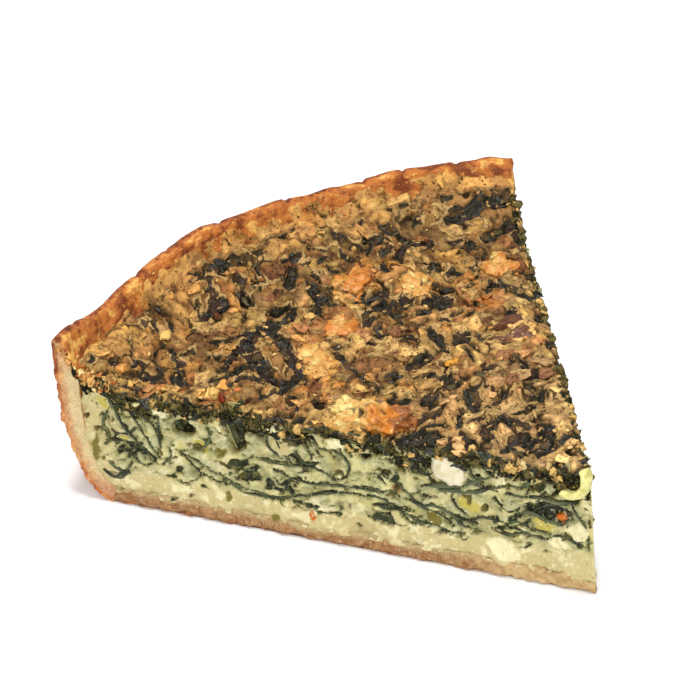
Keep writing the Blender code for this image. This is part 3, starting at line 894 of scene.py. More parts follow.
def top_surface(radius, angle):
    """The browned top at these radii and angles: where it lies, and what lies there."""
    z = filling_top(np.minimum(radius, INNER_RADIUS), angle)
    # At the rim a thin film of custard runs up the pastry's slope, to an uneven line.
    steep = (slope_top[1] - SLOPE_FOOT) / (slope_top[0] - INNER_RADIUS)
    slope = SLOPE_FOOT + (radius - INNER_RADIUS) * steep
    unrolled = radius + steep * np.maximum(radius - INNER_RADIUS, 0)
    on_arc = np.column_stack([unrolled, angle * RIM_RADIUS, 0 * angle])
    ends = FILM_END + FILM_ENDS_SPREAD * rough(on_arc * (0, 1, 0), 9, 56, 3, 0.6)
    ends -= FILM_DROP_AT_CUT * (1 - smooth(angle / FILM_RECOVERY))
    film = FILM_THICKNESS * smooth((ends - slope) / 1.2 + 0.5) - 0.5 * smooth((slope - ends) / 1.2)
    z = np.maximum(z, slope + film)
    places = placed(radius, angle, swelled(radius, angle, z))
    spread = placed(unrolled, angle, z) - (TIP[0], 0, 0)
    depth, on_leaf = leaf_field(spread)
    depth -= 2.5 * smooth((slope - SLOPE_FOOT) / 2)
    relief, rise, tone, gap = top_relief(spread, depth, on_leaf)
    # Each pit at the rim is sunk inside a raised ring, and its rise is lowered, so that the finish paints it
    # dark as shade.
    for x, y, size in RIM_PITS:
        distance = np.hypot(places[:, 0] - TIP[0] - x, places[:, 1] - y) / size
        relief += 0.5 * np.exp(-(((distance - 1.1) / 0.25) ** 2)) - 1.3 * smooth(1.3 - distance)
        rise -= 1.5 * smooth(1.4 - distance)
    # The cut edges crumble: they are lower and rounded, unevenly.
    edge = radius * np.minimum(np.sin(angle), np.sin(SLICE_ANGLE - angle))
    ragged = np.clip(1 + 0.9 * swells(spread, 5, 61) + 0.6 * swells(spread, 1.8, 62), 0.15, 3)
    at_edge = np.exp(-edge / (1.1 * ragged))
    relief -= 1.3 * at_edge * ragged
    places[:, 2] += relief * (1 - 0.5 * smooth((radius - INNER_RADIUS) / 1))
    film_share = smooth((slope - SLOPE_FOOT - 1) / 3)
    return places, spread, depth, on_leaf, rise, tone, gap, at_edge, film_share


def browned_colour(spread, tone, film_share):
    """Colour of the custard's skin: stains, then each flake's own tone, golden where it is a thin film."""
    colour = stained(spread, torn(spread, 1.6, 0.6))
    patch = np.column_stack([
        np.interp(tone, FLAKE_TONES, [tint[i] for tint in FLAKE_COLOURS]) for i in range(3)])
    colour = colour * 0.35 + patch * 0.65
    colour = over(colour, 0.6 * film_share, GOLDEN)
    # A band along the rim is golden, in patches, and the tip stayed pale.
    flat = spread * (1, 1, 0)
    from_middle = np.hypot(spread[:, 0], spread[:, 1] - TIP[1])
    band = smooth((from_middle - INNER_RADIUS + 9) / 5) * smooth(0.7 + 0.9 * swells(flat, 10, 73))
    colour = over(colour, 0.65 * band, BAND_GOLD)
    colour = over(colour, 0.5 * smooth(-spread[:, 1] / 35), PALE_SKIN)
    # The oven was hotter at the back, and browned the rim side and the right half more.
    browned = BROWNED_MORE * (spread[:, 1:2] - 20) / 60 + 0.14 * smooth(spread[:, :1] / 30)
    return colour * (1 - browned * (1 - 0.7 * band[:, None]))


def sink_lid(places, lid):
    """Draws these places in and sinks them, out of sight under the hollows."""
    middle = places.mean(axis=0)
    places[lid] = middle + (places[lid] - middle) * LID_SHARE
    places[lid, 2] = LID_HEIGHT


def make_browned_top(finish_used):
    bm = three_cornered_sheet(TOP_FACETS)
    drawn_down(bm, SKIRT_ROWS)
    mesh = mesh_from(bm, "browned top")
    flat = places_of(mesh)
    share, angle = wedge_places(flat)
    row = -flat[:, 2]
    radius = share * inner_radius(FILM_HEIGHT)
    places, spread, depth, on_leaf, rise, tone, gap, at_edge, film_share = top_surface(radius, angle)
    # The skirt hangs down the cuts: it stands a little proud of them and then goes in behind them.
    hung = row > 0
    down = row * SKIRT_STEP * (1 + 0.35 * swells(spread * (1, 1, 0), 5, 63))
    along = np.column_stack([places[:, :2], places[:, 2] - down])
    out = 0.35 + 0.9 * rough(along, 2.6, 64, 3, 0.6) - 0.02 * row**2
    for outward, near in cut_sides(angle):
        side = near & (radius > 0.5)
        places[side] += outward * (out * smooth(row / 2 + 0.3))[side, None]
    places[:, 2] -= down * hung
    # The last row closes the skirt.
    sink_lid(places, row > SKIRT_ROWS - 0.5)
    set_places(mesh, places)
    paint(
        mesh,
        custard_colour=browned_colour(spread, tone, film_share), leaf_depth=depth, on_leaf=on_leaf,
        rise=rise, gap=gap, hung=np.where(hung, down, 0) + np.where(angle > half_angle, 0.4, 1.1) * at_edge,
    )
    return shown("browned_top", mesh, finish_used, "custard", "filling")


def browned_top_finish():
    """Dry browned custard with wrinkled dark leaves in it."""
    made, tree = finish("browned custard and spinach", 0.1)
    fine = noise_of(tree, 0.4, 3)
    mid = noise_of(tree, 2.8, 3, 0.55)
    curds = noise_of(tree, 1.6, 2, 0.5)
    specks = noise_of(tree, 1.2, 2, 0.5)
    broad = noise_of(tree, 6, 2)
    rise = attribute(tree, "rise")
    gap = stirred(mid, 1.4, attribute(tree, "gap"))
    ragged = stirred(fine, 0.45, attribute(tree, "leaf_depth"))
    ragged = stirred(mid, 1.8, ragged)
    leafy = between(ragged, -0.1, 0.12)
    custard = attribute(tree, "custard_colour", "Color")
    # Thin custard lets the leaf show through, and proud custard is painted lighter, as highlight.
    thin = between(maths("MULTIPLY_ADD", broad, 1.6, ragged), -0.7, 0.8, 0, 0.75)
    custard = mixed(thin, custard, THIN_CUSTARD)
    # Where mid and curds leave the relief low the custard is painted darker, as shade, and where they raise
    # it, lighter, as highlight.
    for share, tint in (
        (between(mid, 0.56, 0.64, 0, 0.8), (0.5, 0.42, 0.36)),
        (between(mid, 0.44, 0.36, 0, 0.9), (1.3, 1.3, 1.25)),
        (between(rise, 0.3, 0.9), (1.3, 1.3, 1.2)),
        (between(curds, 0.57, 0.66, 0, 0.8), (0.45, 0.36, 0.32)),
        (between(curds, 0.42, 0.34, 0, 0.7), (1.35, 1.35, 1.3)),
    ):
        custard = mixed(share, custard, tint, "MULTIPLY")
    # A cream painted highlight along the custard's lip, where it meets a leaf.
    lip_highlight = maths(
        "MULTIPLY", between(ragged, -0.5, -0.2), between(broad, 0.45, 0.6, 0, 0.6))
    custard = mixed(lip_highlight, custard, seen(232, 192, 124))
    # Dark specks, then painted shade in the creases between flakes and in the pits and low places.
    custard = tinted(
        custard,
        (specks, 0.66, 0.69, 0.9, seen(40, 26, 8)),
        (gap, 0.35, 0.02, 0.9, seen(40, 24, 6)),
        (rise, -0.1, -0.8, 0.95, seen(34, 20, 4)),
    )
    on_leaf = add(tree, "Mapping", {"Vector": attribute(tree, "on_leaf", "Vector"), "Scale": (0.3, 1.3, 1)})
    veins = add(tree, "TexNoise", {"Vector": on_leaf.outputs[0], "Scale": 1.0, "Detail": 4.0}).outputs["Fac"]
    # The leaves' raised wrinkles are painted lighter, as highlight, and their raised grains get a grey
    # painted sheen.
    leaf = ramp(veins, 0.4, 0.75, LEAF, LEAF_HIGHLIGHT)
    leaf = tinted(
        leaf,
        (broad, 0.5, 0.62, 0.6, seen(70, 48, 38)),
        (mid, 0.54, 0.66, 0.75, seen(104, 76, 42)),
        (curds, 0.66, 0.7, 0.85, seen(196, 152, 92)),
        (curds, 0.36, 0.28, 0.7, seen(104, 104, 98)),
    )
    colour = mixed(leafy, custard, leaf)
    # At the cut edges the top turns into a dark band of leaf, darkened further as painted shade under the
    # top's edge, with light bits of custard.
    at_cut = between(maths("MULTIPLY_ADD", mid, 1.6, attribute(tree, "hung")), 1.1, 1.9)
    wet = ramp(mid, 0.42, 0.68, seen(14, 15, 4), seen(72, 68, 26))
    wet = tinted(wet, (fine, 0.6, 0.7, 0.8, seen(200, 176, 104)))
    colour = mixed(at_cut, colour, wet)
    roughness = between(leafy, 0, 1, 0.6, 0.4)
    relief = maths("MULTIPLY_ADD", mid, -0.8, maths("MULTIPLY", fine, 0.35))
    relief = maths("MULTIPLY_ADD", curds, -0.8, relief)
    relief = maths("MULTIPLY_ADD", veins, leafy, relief)
    return dressed(made, colour, roughness, relief, 0.4, 1.0)


make_browned_top(browned_top_finish())

# %% [markdown]
# ## The cut sides
#
# A knife leaves the custard's sides flat, but porous and smeared, with the leaves cut across as dark
# strands. The custard body is one solid with a fine ring of edges drawn down from the top to the pastry,
# so that both cut sides have facets of a third of a millimetre. Its pores, hollows and lumps are moves
# of those vertices across the cut.

# %% Spots in the left cut side
# distance from the tip, height, length, width, turn, how far it stands out, colour
CARROT = seen(206, 104, 10)
# Spots sunk into hollows take the olive hollow colour, which is painted shade.
LEFT_SPOTS = (
    (98, 24, 6, 4, 0, -2.6, HOLE_SHADE), (85, 23.6, 4.4, 8, 8, -2.6, HOLE_SHADE), (81.6, 27, 7, 3.2, 14, -2.2, HOLE_SHADE),
    (86.6, 27, 4, 4, 0, -2.2, HOLE_SHADE), (50, 27.6, 5, 2.6, -20, -2.0, HOLE_SHADE),
    (53.5, 25.6, 2.6, 2, 0, -1.6, HOLE_SHADE), (45, 24, 3, 2, 30, -1.2, HOLE_SHADE),
    (18, 27.6, 3.4, 2.6, 0, -1.8, STALK), (10.5, 19.5, 12, 5, 0, -0.85, seen(28, 34, 16)),
    (94, 20, 4, 3, 40, -0.8, YELLOW), (29, 17.8, 6, 3.4, 30, 0.4, YELLOW),
    (37.6, 12.4, 4, 3.6, 0, 0.3, STALK), (11.5, 16, 5.5, 3, 10, 0.3, YELLOW),
    (3.5, 15.8, 4.4, 5, 0, 0.5, BRIGHT), (1.4, 2.4, 3, 2.4, 0, 0.4, STALK),
    (21, 7.6, 8, 5, 25, 0.5, BRIGHT), (55.5, 6, 6, 4, 20, -0.7, PALE_CUSTARD),
    (7, 19, 2.2, 2.6, 60, 0.6, CARROT), (66.8, 7.2, 2.4, 2.8, 0, 0.1, CARROT),
    (58.2, 11.5, 1, 1.4, 0, 0.1, PURPLE_BROWN), (97, 6, 1.6, 0.8, 0, 0.1, PURPLE_BROWN),
    (46.5, 18.4, 2, 1.4, 20, 0.1, PEACH), (76.2, 3.8, 2.6, 2.2, 10, 0.1, STALK),
    (66.6, 2.6, 1.4, 1.6, 0, 0.1, STALK), (102, 4.4, 3, 1.6, 0, 0.1, LEAF_GREEN),
    (114, 3.6, 2.6, 1.6, 20, 0.1, STALK), (87.6, 7.6, 1.6, 3.4, 0, 0.1, STALK),
    (14, 2.4, 1.6, 2, 0, 0.1, STALK), (113, 18.4, 3, 1.2, 0, 0.3, YELLOW),
    (117.8, 27.6, 3.6, 2.2, 60, 0.2, YELLOW), (68, 31, 6, 3, 10, 0.3, SMEAR),
    (60, 27.6, 4, 2.4, 0, 0.3, BRIGHT), (93, 29, 8, 2, -10, -0.6, STALK), (77, 28.4, 5, 3, 0, 0.3, BRIGHT),
    (107, 8.6, 9, 3, 0, 0.2, PALE_CUSTARD), (120.2, 14.8, 1.6, 8, 4, 0.7, STALK),
    (89, 19.4, 3, 2.4, 0, -0.9, STALK), (96, 19, 3, 2, 30, -0.9, HOLE_SHADE), (104, 27.6, 4, 2, 20, 0.3, BRIGHT),
    (33, 6.4, 5, 3, 0, 0.1, PALE_CUSTARD), (56, 5.9, 1.6, 1.2, 0, -1.0, LEAF_GREEN),
    (8, 12.2, 5, 3.4, 0, 0.3, BRIGHT), (73, 24.4, 6, 4, -30, 0.3, PALE_CUSTARD),
)
# Strands in the left cut side, as lines of distance from the tip and height, each with its width
LEFT_STRANDS = (
    (0.9, ((118, 32), (115.5, 27), (113, 22), (109, 17.4), (105, 13.5))),
    (0.7, ((113, 29), (110.5, 25), (108, 21), (106.6, 18), (104.4, 15.2))),
    (0.8, ((109.5, 26), (106, 24.2), (104.6, 21), (104, 18))),
    (0.7, ((104, 26.5), (104.3, 23), (104, 20))),
    (0.8, ((114.5, 31), (113.6, 28), (110.4, 26.4), (107, 27), (104, 29.6))),
    (0.6, ((116, 27), (117.6, 24), (118.4, 21), (117, 18))),
    (0.7, ((110, 22), (112, 20), (115.4, 19.4))),
    (1.1, ((100, 18), (97.6, 15.8), (95, 13), (91, 11.8), (85, 11), (80, 10.4), (75, 10), (70, 11.6),
           (65, 13), (60, 14.4), (55, 15), (50, 15), (46, 13), (43.6, 10.4), (42, 10))),
    (0.8, ((99, 17.4), (95.6, 16.2), (92, 14.4), (88, 12.6), (84.4, 9.8), (79, 9.4), (74, 9.6))),
    (0.7, ((80, 19.6), (74, 19.4), (69, 20), (64.6, 19.6), (61, 17.6))),
    (0.7, ((76, 17.4), (71, 16), (66.6, 15.4), (61, 16.4), (55, 16.6), (49.6, 16.8))),
    (0.7, ((72.4, 28.6), (71.2, 25), (70, 22), (67.4, 20.6), (64.8, 21.6))),
    (0.6, ((69, 30), (68.6, 26.6), (67, 24.2), (66.4, 21.6))),
    (0.6, ((62, 27), (60.4, 25.4), (58.6, 24.6), (57.4, 22), (58.4, 19), (61, 18.2))),
    (0.6, ((57, 30), (57.6, 27.6), (56.6, 25.4))),
    (0.7, ((75, 26), (73.6, 22.6), (71.6, 20.4))),
    (0.7, ((49.6, 21.6), (46.6, 20.4), (43.4, 18), (41.6, 15.6), (39.6, 14.4), (36, 13.6), (33, 11.4))),
    (1.2, ((44, 16.4), (40.6, 15.4), (37.4, 15.6), (34, 14.6), (31, 12), (29, 11.6))),
    (0.9, ((52, 13), (48, 13.4), (44, 12), (41, 10.4), (38, 10.8), (34, 9.6), (30.6, 9.4))),
    (1.6, ((40, 20.6), (36, 21.4), (31, 22.2), (27, 24.4), (23, 26.4))),
    (1.4, ((36, 20.6), (31.6, 20.8), (27, 21.6), (23.4, 23.4), (20, 24.4))),
    (1.0, ((23, 27.4), (20.8, 29.4), (17.6, 30), (15.2, 28.8), (14.6, 26.6), (16.4, 25), (19.4, 24.8))),
    (1.2, ((20, 22.6), (16, 22.8), (12, 23.2), (8, 22.8), (4, 23.4))),
    (1.3, ((18, 17.4), (14.6, 18.6), (11.6, 17.4), (8.4, 16.8), (5.6, 17.4))),
    (0.9, ((24, 12.4), (19.6, 11.4), (16, 13), (11.6, 12.4), (8.4, 13.8), (4, 13.2), (1, 14.6))),
    (0.9, ((20.6, 14), (17.6, 15.6), (13.6, 14.4), (10, 14.6))),
    (1.0, ((5.4, 24), (4, 20.6), (2.4, 18), (1.2, 14.6), (1.4, 11.6))),
    (1.6, ((119.6, 9), (116.4, 7.4), (113.8, 8.6), (111.6, 12))),
    (1.2, ((117.4, 11), (115, 9.6), (112.6, 9))),
    (0.8, ((112.4, 15.4), (110.4, 13.2), (107.4, 12.4), (105.4, 14.4))),
    (0.7, ((103.4, 13.6), (101.6, 15.6), (101.8, 18))),
    (0.9, ((36, 9.4), (36.4, 6.4), (35.4, 3.4), (35.2, 1.8))),
    (0.7, ((31.6, 9.6), (31, 7.8), (29.6, 8.6))),
    (0.8, ((92, 25.4), (91.4, 23), (92.6, 20.6), (94.4, 18.8))),
    (0.8, ((33.4, 18.6), (31.4, 16), (29.6, 14.6))),
    (0.7, ((26.4, 30.6), (24, 28.6), (21.6, 27.4))),
    (0.8, ((44, 29.6), (41.4, 27.8), (38.6, 27.4))),
    (0.8, ((64, 30.6), (60, 30.4), (55.6, 30.8), (51, 29.6), (47, 30.4))),
    (0.9, ((48, 28.4), (45.2, 27), (42.6, 27.6), (40.4, 29.4))),
)
LEFT_STRAND_COUNT = 14
RIGHT_STRAND_COUNT = 70
STRAND_NARROWING = 0.7
STRAND_STEP = 0.8


def curved(line, step):
    """Points along a smooth curve through a line of places."""
    line = np.array(line, dtype=float)
    line = np.vstack([2 * line[0] - line[1], line, 2 * line[-1] - line[-2]])
    points = []
    for a, b, c, d in zip(line, line[1:], line[2:], line[3:]):
        count = max(2, round(float(np.linalg.norm(c - b)) / step))
        for t in np.arange(count) / count:
            points.append(0.5 * (2 * b + (c - a) * t + (2 * a - 5 * b + 4 * c - d) * t**2
                                 + (3 * b - a - 3 * c + d) * t**3))
    return np.array([*points, line[-2]])


def strewn_strands(count, seed):
    """Short curved strands, mostly lying flat, at random places in a cut side."""
    draw = np.random.default_rng(seed)
    made = []
    for _ in range(count):
        length = draw.uniform(3, 13)
        place = np.array((draw.uniform(3, 116), draw.uniform(11, 30)))
        heading = draw.normal(0, 0.5)
        line = [place]
        for _ in range(5):
            heading += draw.normal(0, 0.45)
            place = place + length / 5 * np.array((math.cos(heading), math.sin(heading)))
            line.append(place)
        line = np.array(line)
        line[:, 1] = np.clip(line[:, 1], 9.5, 30.5)
        line[:, 0] = np.clip(line[:, 0], 1.5, 118)
        made.append((draw.uniform(0.25, 0.6), line))
    return made


left_strands = [(width * STRAND_NARROWING, curved(line, STRAND_STEP)) for width, line in LEFT_STRANDS]
left_strands += [(width, curved(line, STRAND_STEP)) for width, line in strewn_strands(LEFT_STRAND_COUNT, 71)]
right_strands = [
    (width, curved(line, STRAND_STEP)) for width, line in strewn_strands(RIGHT_STRAND_COUNT, 72)
]
print(len(left_strands), "strands in the left cut side and", len(right_strands), "in the right one")

# %% [markdown]
# Round each strand the custard is stained grey-green, so it needs the distance to the nearest strand at
# every vertex. A tree of the strands' points answers that quickly. The custard then gets its pores and
# soft lumps, and low down it is smooth and pale, because the leaves float up before it sets.

# %% Make the custard body
CUT_COLUMNS = 360
ARC_COLUMNS = 60
CUSTARD_ROWS = 88
UNDER_TOP = 1.0
INTO_PASTRY = 0.2
OVER_BASE = 1.3  # the custard runs down over the base's edge by this much


def nearest_strand(cut_places, strands):
    """Distance from places in a cut side to the nearest strand."""
    points = np.vstack([line for _, line in strands])
    tree = KDTree(len(points))
    for number, (along, height) in enumerate(points.tolist()):
        tree.insert((along, height, 0), number)
    tree.balance()
    return np.array([tree.find((along, height, 0))[2] for along, height in cut_places.tolist()])


def cut_surface(along, height, strands, spots, seed):
    """How far the cut stands out, its colour, and how far inside a leaf and inside a hole each place is."""
    flat = np.column_stack([along, height, np.full(len(along), seed * 40.0)])
    shifted = flat[:, :2] + np.column_stack([
        0.7 * swells(flat, 2.6, 81) + 0.35 * swells(flat, 0.9, 82),
        0.7 * swells(flat, 2.6, 83) + 0.35 * swells(flat, 0.9, 84),
    ])
    leafy = smooth((height - 8.5) / 3)
    # Leaves that were cut across: thin lines that run along the slice, and bend round each other.
    bent = np.column_stack([shifted[:, 0] * 0.42, shifted[:, 1] + 2.6 * swells(flat, 12, 96), flat[:, 2]])
    bent[:, 1] += 1.2 * swells(flat, 4.5, 97)
    first = rough(bent, 4.4, 98, 2, 0.4)
    second = rough(bent, 3.0, 99, 2, 0.4)
    there = swells(flat * (0.5, 1, 1), 5.5, 100) + 0.25 * swells(flat, 1.6, 109)
    leaf = np.maximum(0.8 * there - 0.2 - 3.0 * np.abs(first), -0.9 * there - 0.22 - 2.6 * np.abs(second))
    # In places they lie in thick wads.
    wad = swells(flat * (0.45, 1, 1), 6, 110) * 1.6 - 0.6 + 1.0 * swells(bent, 1.1, 114)
    leaf = np.maximum(leaf, wad * 1.6)
    strand = nearest_strand(flat[:, :2], strands)
    leaf = np.maximum(leaf, 0.35 - strand)
    leaf = np.minimum(leaf, (height - 8.6 - 1.4 * swells(flat, 7, 115)) * 0.7)
    leaf = np.minimum(leaf, 119 + 1.5 * swells(flat, 4, 125) - along)
    band = (height - 29.4 - 1.6 * swells(flat, 4, 116) - 0.8 * swells(flat, 1.5, 117)) * 0.8
    leaf = np.maximum(leaf, band)
    in_leaf = smooth(leaf / 0.5 + 0.5)
    # Custard bulges between them.
    lobes = grains(np.column_stack([shifted, flat[:, 2]]) * (0.7, 1.1, 1), 4.2, 118) - 0.5
    out = 0.75 * rough(flat, 5, 85, 3, 0.5) + (0.15 + 0.4 * leafy) * rough(flat, 1.6, 86, 3, 0.6)
    out += 1.1 * lobes * leafy * (1 - in_leaf) - 0.75 * in_leaf
    out += 0.3 * in_leaf * rough(bent, 0.9, 119, 2, 0.5)
    hole = (rough(flat, 3.0, 87, 2, 0.6) - 0.5 + 0.1 * swells(flat, 14, 88)) * 2.2 - 4 * (1 - leafy)
    veil = np.exp(-((np.maximum(-leaf, 0) / 1.0) ** 2)) * smooth(0.7 + 1.2 * swells(flat, 3.4, 120)) * leafy
    colour = np.tile(CUSTARD, (len(along), 1))
    colour = over(colour, 1 - smooth((height - 7.5) / 5), PALE_CUSTARD)
    for tint, share in (
        (BRIGHT, 0.85 * smooth(rough(flat, 3.4, 89, 3, 0.6) * 2.6 - 0.25)),
        (YELLOW, 0.45 * leafy * smooth(rough(flat, 5, 90, 3) * 2.4 - 0.4)),
        (seen(166, 150, 92), 0.6 * leafy * smooth(rough(flat, 3.6, 121, 3, 0.6) * 2.6 - 0.5)),
        (SMEAR, 0.75 * veil * smooth((121 - along) / 8)),
        (PALE_CUSTARD, 0.8 * smooth((along - 114) / 6)),
    ):
        colour = over(colour, share, tint)
    for x, y, length, width, turn, stands, tint in spots:
        inside = in_oval(shifted, (x, y, length, width, turn))[2]
        share = smooth(0.5 + inside / (0.5 if stands < 0 else 0.35))
        leaf = np.where(inside > -0.25, -1.0, leaf)
        out = np.where(inside > -0.25, np.maximum(out, -0.3), out)
        out += stands * smooth(0.4 + inside / 0.8)
        if stands < -0.9:
            hole = np.maximum(hole, inside * 1.2)
        colour = over(colour, share, tint)
    out -= 1.5 * smooth(hole / 1.2 + 0.3)
    return out, colour, leaf, hole


def make_custard_body(finish_used):
    bm = three_cornered_ring(CUT_COLUMNS, ARC_COLUMNS)
    drawn_down(bm, CUSTARD_ROWS)
    mesh = mesh_from(bm, "custard")
    flat = places_of(mesh)
    share, angle = wedge_places(flat)
    row = -flat[:, 2]
    level = 1 - np.maximum(row - 1, 0) / (CUSTARD_ROWS - 1)
    top_radius = share * inner_radius(FILLING_HEIGHT)
    top = swelled(top_radius, angle, filling_top(top_radius, angle)) - UNDER_TOP
    start = BASE_THICKNESS - OVER_BASE
    z = start + (top - start) * level
    radius = share * (inner_radius(z) + INTO_PASTRY)
    places = placed(radius, angle, z)
    colour = np.tile(CUSTARD, (len(places), 1))
    leaf, hole = np.full((2, len(places)), -1.0)
    for outward, near, strands, spots, seed in (
        (left_outward, angle < AT_CUT, left_strands, LEFT_SPOTS, 0),
        (right_outward, angle > SLICE_ANGLE - AT_CUT, right_strands, (), 1),
    ):
        out, colour[near], leaf[near], hole[near] = cut_surface(radius[near], z[near], strands, spots, seed)
        places[near] += outward * (out * smooth(radius[near] / 1.5))[:, None]
    # The first row is the lid, and stays under the browned top.
    sink_lid(places, row < 0.5)
    set_places(mesh, places)
    paint(mesh, cut_colour=colour, leaf=leaf, hole=hole)
    return shown("cut_custard", mesh, finish_used, "custard", "filling")


def custard_finish():
    """Moist egg custard, cut through, with dark leaves cut across, and hollows and pores painted olive as
    shade.
    """
    made, tree = finish("cut custard", 0.25)
    fine = noise_of(tree, 0.4, 3, 0.6)
    mid = noise_of(tree, 1.3, 3, 0.6)
    broad = noise_of(tree, 5, 2)
    colour = attribute(tree, "cut_colour", "Color")
    # Lighter and olive patches; the olive in the fine pores, where the relief is low, is painted shade.
    colour = tinted(
        colour,
        (mid, 0.6, 0.72, 0.55, seen(150, 144, 90)),
        (mid, 0.44, 0.3, 0.6, BRIGHT),
        (fine, 0.4, 0.27, 0.5, seen(150, 134, 74)),
    )
    wobble = stirred(mid, 0.9, maths("MULTIPLY", maths("SUBTRACT", fine, 0.5), 0.5))
    leaf = maths("ADD", attribute(tree, "leaf"), wobble)
    dark = ramp(mid, 0.4, 0.7, seen(20, 24, 4), seen(78, 80, 38))
    dark = tinted(dark, (broad, 0.5, 0.65, 0.6, seen(60, 66, 44)))
    streaks = noise_of(tree, 0.9, 2, 0.5)
    dark = tinted(dark, (streaks, 0.58, 0.64, 0.8, seen(136, 138, 92)))
    edge = mixed(between(leaf, -0.3, -0.05, 0, 0.7), colour, seen(130, 126, 72))
    colour = ramp(leaf, -0.06, 0.1, edge, dark)
    # The hollows are painted olive, darker the deeper in they are, as shade.
    hole = maths("ADD", attribute(tree, "hole"), wobble)
    hollow = ramp(hole, 0.1, 0.9, seen(124, 114, 58), seen(58, 54, 20))
    colour = tinted(colour, (hole, -0.08, 0.12, 0.92, hollow))
    relief = maths("MULTIPLY_ADD", mid, 1.2, fine)
    dressed(made, colour, between(mid, 0.3, 0.7, 0.34, 0.58), relief, 0.2, 0.9)
    shader = tree.nodes[SHADER]
    shader.inputs["Subsurface Weight"].default_value = 0.08
    shader.inputs["Subsurface Radius"].default_value = (1.0, 0.8, 0.4)
    shader.inputs["Subsurface Scale"].default_value = 0.8 * MM
    return made


make_custard_body(custard_finish())

# %% [markdown]
# ## Spinach strands
#
# Cooked spinach that is cut across shows as thin dark ribbons. Each is a curve that follows its line with
# a round bevel, thin at its ends. All of them are laid out flat first, with their depth drawn out to
# twice its size, and then the whole lot is pressed flat and stood up against the cut side. That gives
# ribbons that are half as thick as they are wide.

# %% Make the strands
STRAND_FLATNESS = 0.6


def cut_places(along, height, out, right):
    """Places in a cut side, from distance to the tip, height and how far out."""
    angle = np.full(len(along), SLICE_ANGLE if right else 0.0)
    return placed(along, angle, height) + (right_outward if right else left_outward) * out[:, None]


def make_strands(name, strands, finish_used, right, seed):
    draw = np.random.default_rng(seed)
    curve = bpy.data.curves.new(name, "CURVE")
    curve.dimensions = "3D"
    curve.bevel_depth = 1
    curve.bevel_resolution = 1
    curve.use_fill_caps = True
    for width, line in strands:
        spline = curve.splines.new("POLY")
        spline.points.add(len(line) - 1)
        share = np.linspace(0, 1, len(line))
        spots = np.column_stack([line, np.full(len(line), float(seed))])
        taper = smooth(share * 5 + 0.15) * smooth((1 - share) * 5 + 0.15)
        radius = width / 2 * taper * np.clip(1 + 0.8 * swells(spots, 2.2, 93), 0.25, 2)
        depth = draw.uniform(-0.45, 0.05) / STRAND_FLATNESS + 0.5 * swells(spots, 4, 94)
        wobble = 0.25 * swells(spots, 1.5, 95)
        spline.points.foreach_set("co", np.column_stack(
            [line[:, 0], line[:, 1] + wobble, depth, np.ones(len(line))]).ravel())
        spline.points.foreach_set("radius", radius)
    blank = bpy.data.objects.new(name, curve)
    mesh = bpy.data.meshes.new_from_object(blank)
    bpy.data.objects.remove(blank)
    bpy.data.curves.remove(curve)
    merged(mesh, 1e-4)
    places = places_of(mesh)
    set_places(mesh, cut_places(places[:, 0], places[:, 1], places[:, 2] * STRAND_FLATNESS, right))
    return shown(name, mesh, finish_used, "custard")


def strand_finish():
    """Wet cooked spinach: nearly black green, lighter in patches."""
    made, tree = finish("cooked spinach", 0.35)
    broad = noise_of(tree, 4, 2)
    fine = noise_of(tree, 0.5, 2)
    colour = ramp(broad, 0.4, 0.6, seen(20, 26, 10), seen(84, 92, 58))
    colour = tinted(colour, (fine, 0.5, 0.75, 0.6, seen(120, 122, 80)))
    return dressed(made, colour, 0.4, fine, 0.15, 0.7)


spinach = strand_finish()
make_strands("left_strands", left_strands, spinach, False, 5)
make_strands("right_strands", right_strands, spinach, True, 6)

# %% [markdown]
# ## The pastry case
#
# Short pastry is a crumb of flour and fat, baked. Its outside is granular and orange to reddish brown,
# its rim is uneven and cracked, and where it is cut it is pale and crumbly, with a baked skin. Spinning
# the section round would need hundreds of steps, each slower than the last. So a sheet of small squares
# is folded into a box, two plates close its ends, and the box's vertices are moved to the real section:
# its length becomes the arc, its height the way up the wall, and its width the way through it.

# %% Make the pastry wall
WALL_ROWS = 134
WALL_COLUMNS = 15
WALL_STEPS = 292
CREST_STARTS = 0.93


def wall_places(up, through):
    """Radius and height in the wall's section: up runs from foot to crest, through from the outside in."""
    outer_z = crest_middle[1] * up**1.15
    outer = np.column_stack([outer_radius(outer_z), outer_z])
    section = inner_wall()
    lengths = np.concatenate([[0], np.cumsum(np.linalg.norm(np.diff(section, axis=0), axis=1))])
    way = up**1.05 * lengths[-1]
    inner = np.column_stack([np.interp(way, lengths, section[:, i]) for i in range(2)])
    flat = outer * (1 - through[:, None]) + inner * through[:, None]
    turn = CREST_MEETS * through
    arc = crest_middle + CREST_RADIUS * np.column_stack([np.cos(turn), np.sin(turn)])
    flat_end = np.array((RIM_RADIUS, crest_middle[1])) * (1 - through[:, None]) + slope_top * through[:, None]
    bulge = smooth((up - CREST_STARTS) / (1 - CREST_STARTS))[:, None] ** 2
    return flat + (arc - flat_end) * bulge, outer, inner


RIM_LUMPS = ((1.5, 3.5, 1.3), (14, 3, 0.5), (22, 4, 0.9), (34, 7, 0.9), (52, 8, 1.1), (63, 3, 0.9))


def pastry_relief(points):
    """How far baked pastry stands out: grains, flakes and small cracks."""
    relief = 0.42 * (grains(points, 1.6, 101) - 0.45) + 0.2 * rough(points, 0.8, 102, 2)
    relief += 0.45 * rough(points, 5, 103, 3, 0.55)
    crack = np.abs(swells(points, 5.5, 104))
    return relief - 0.5 * smooth(1 - crack / 0.05) * smooth(swells(points, 9, 105) * 3)


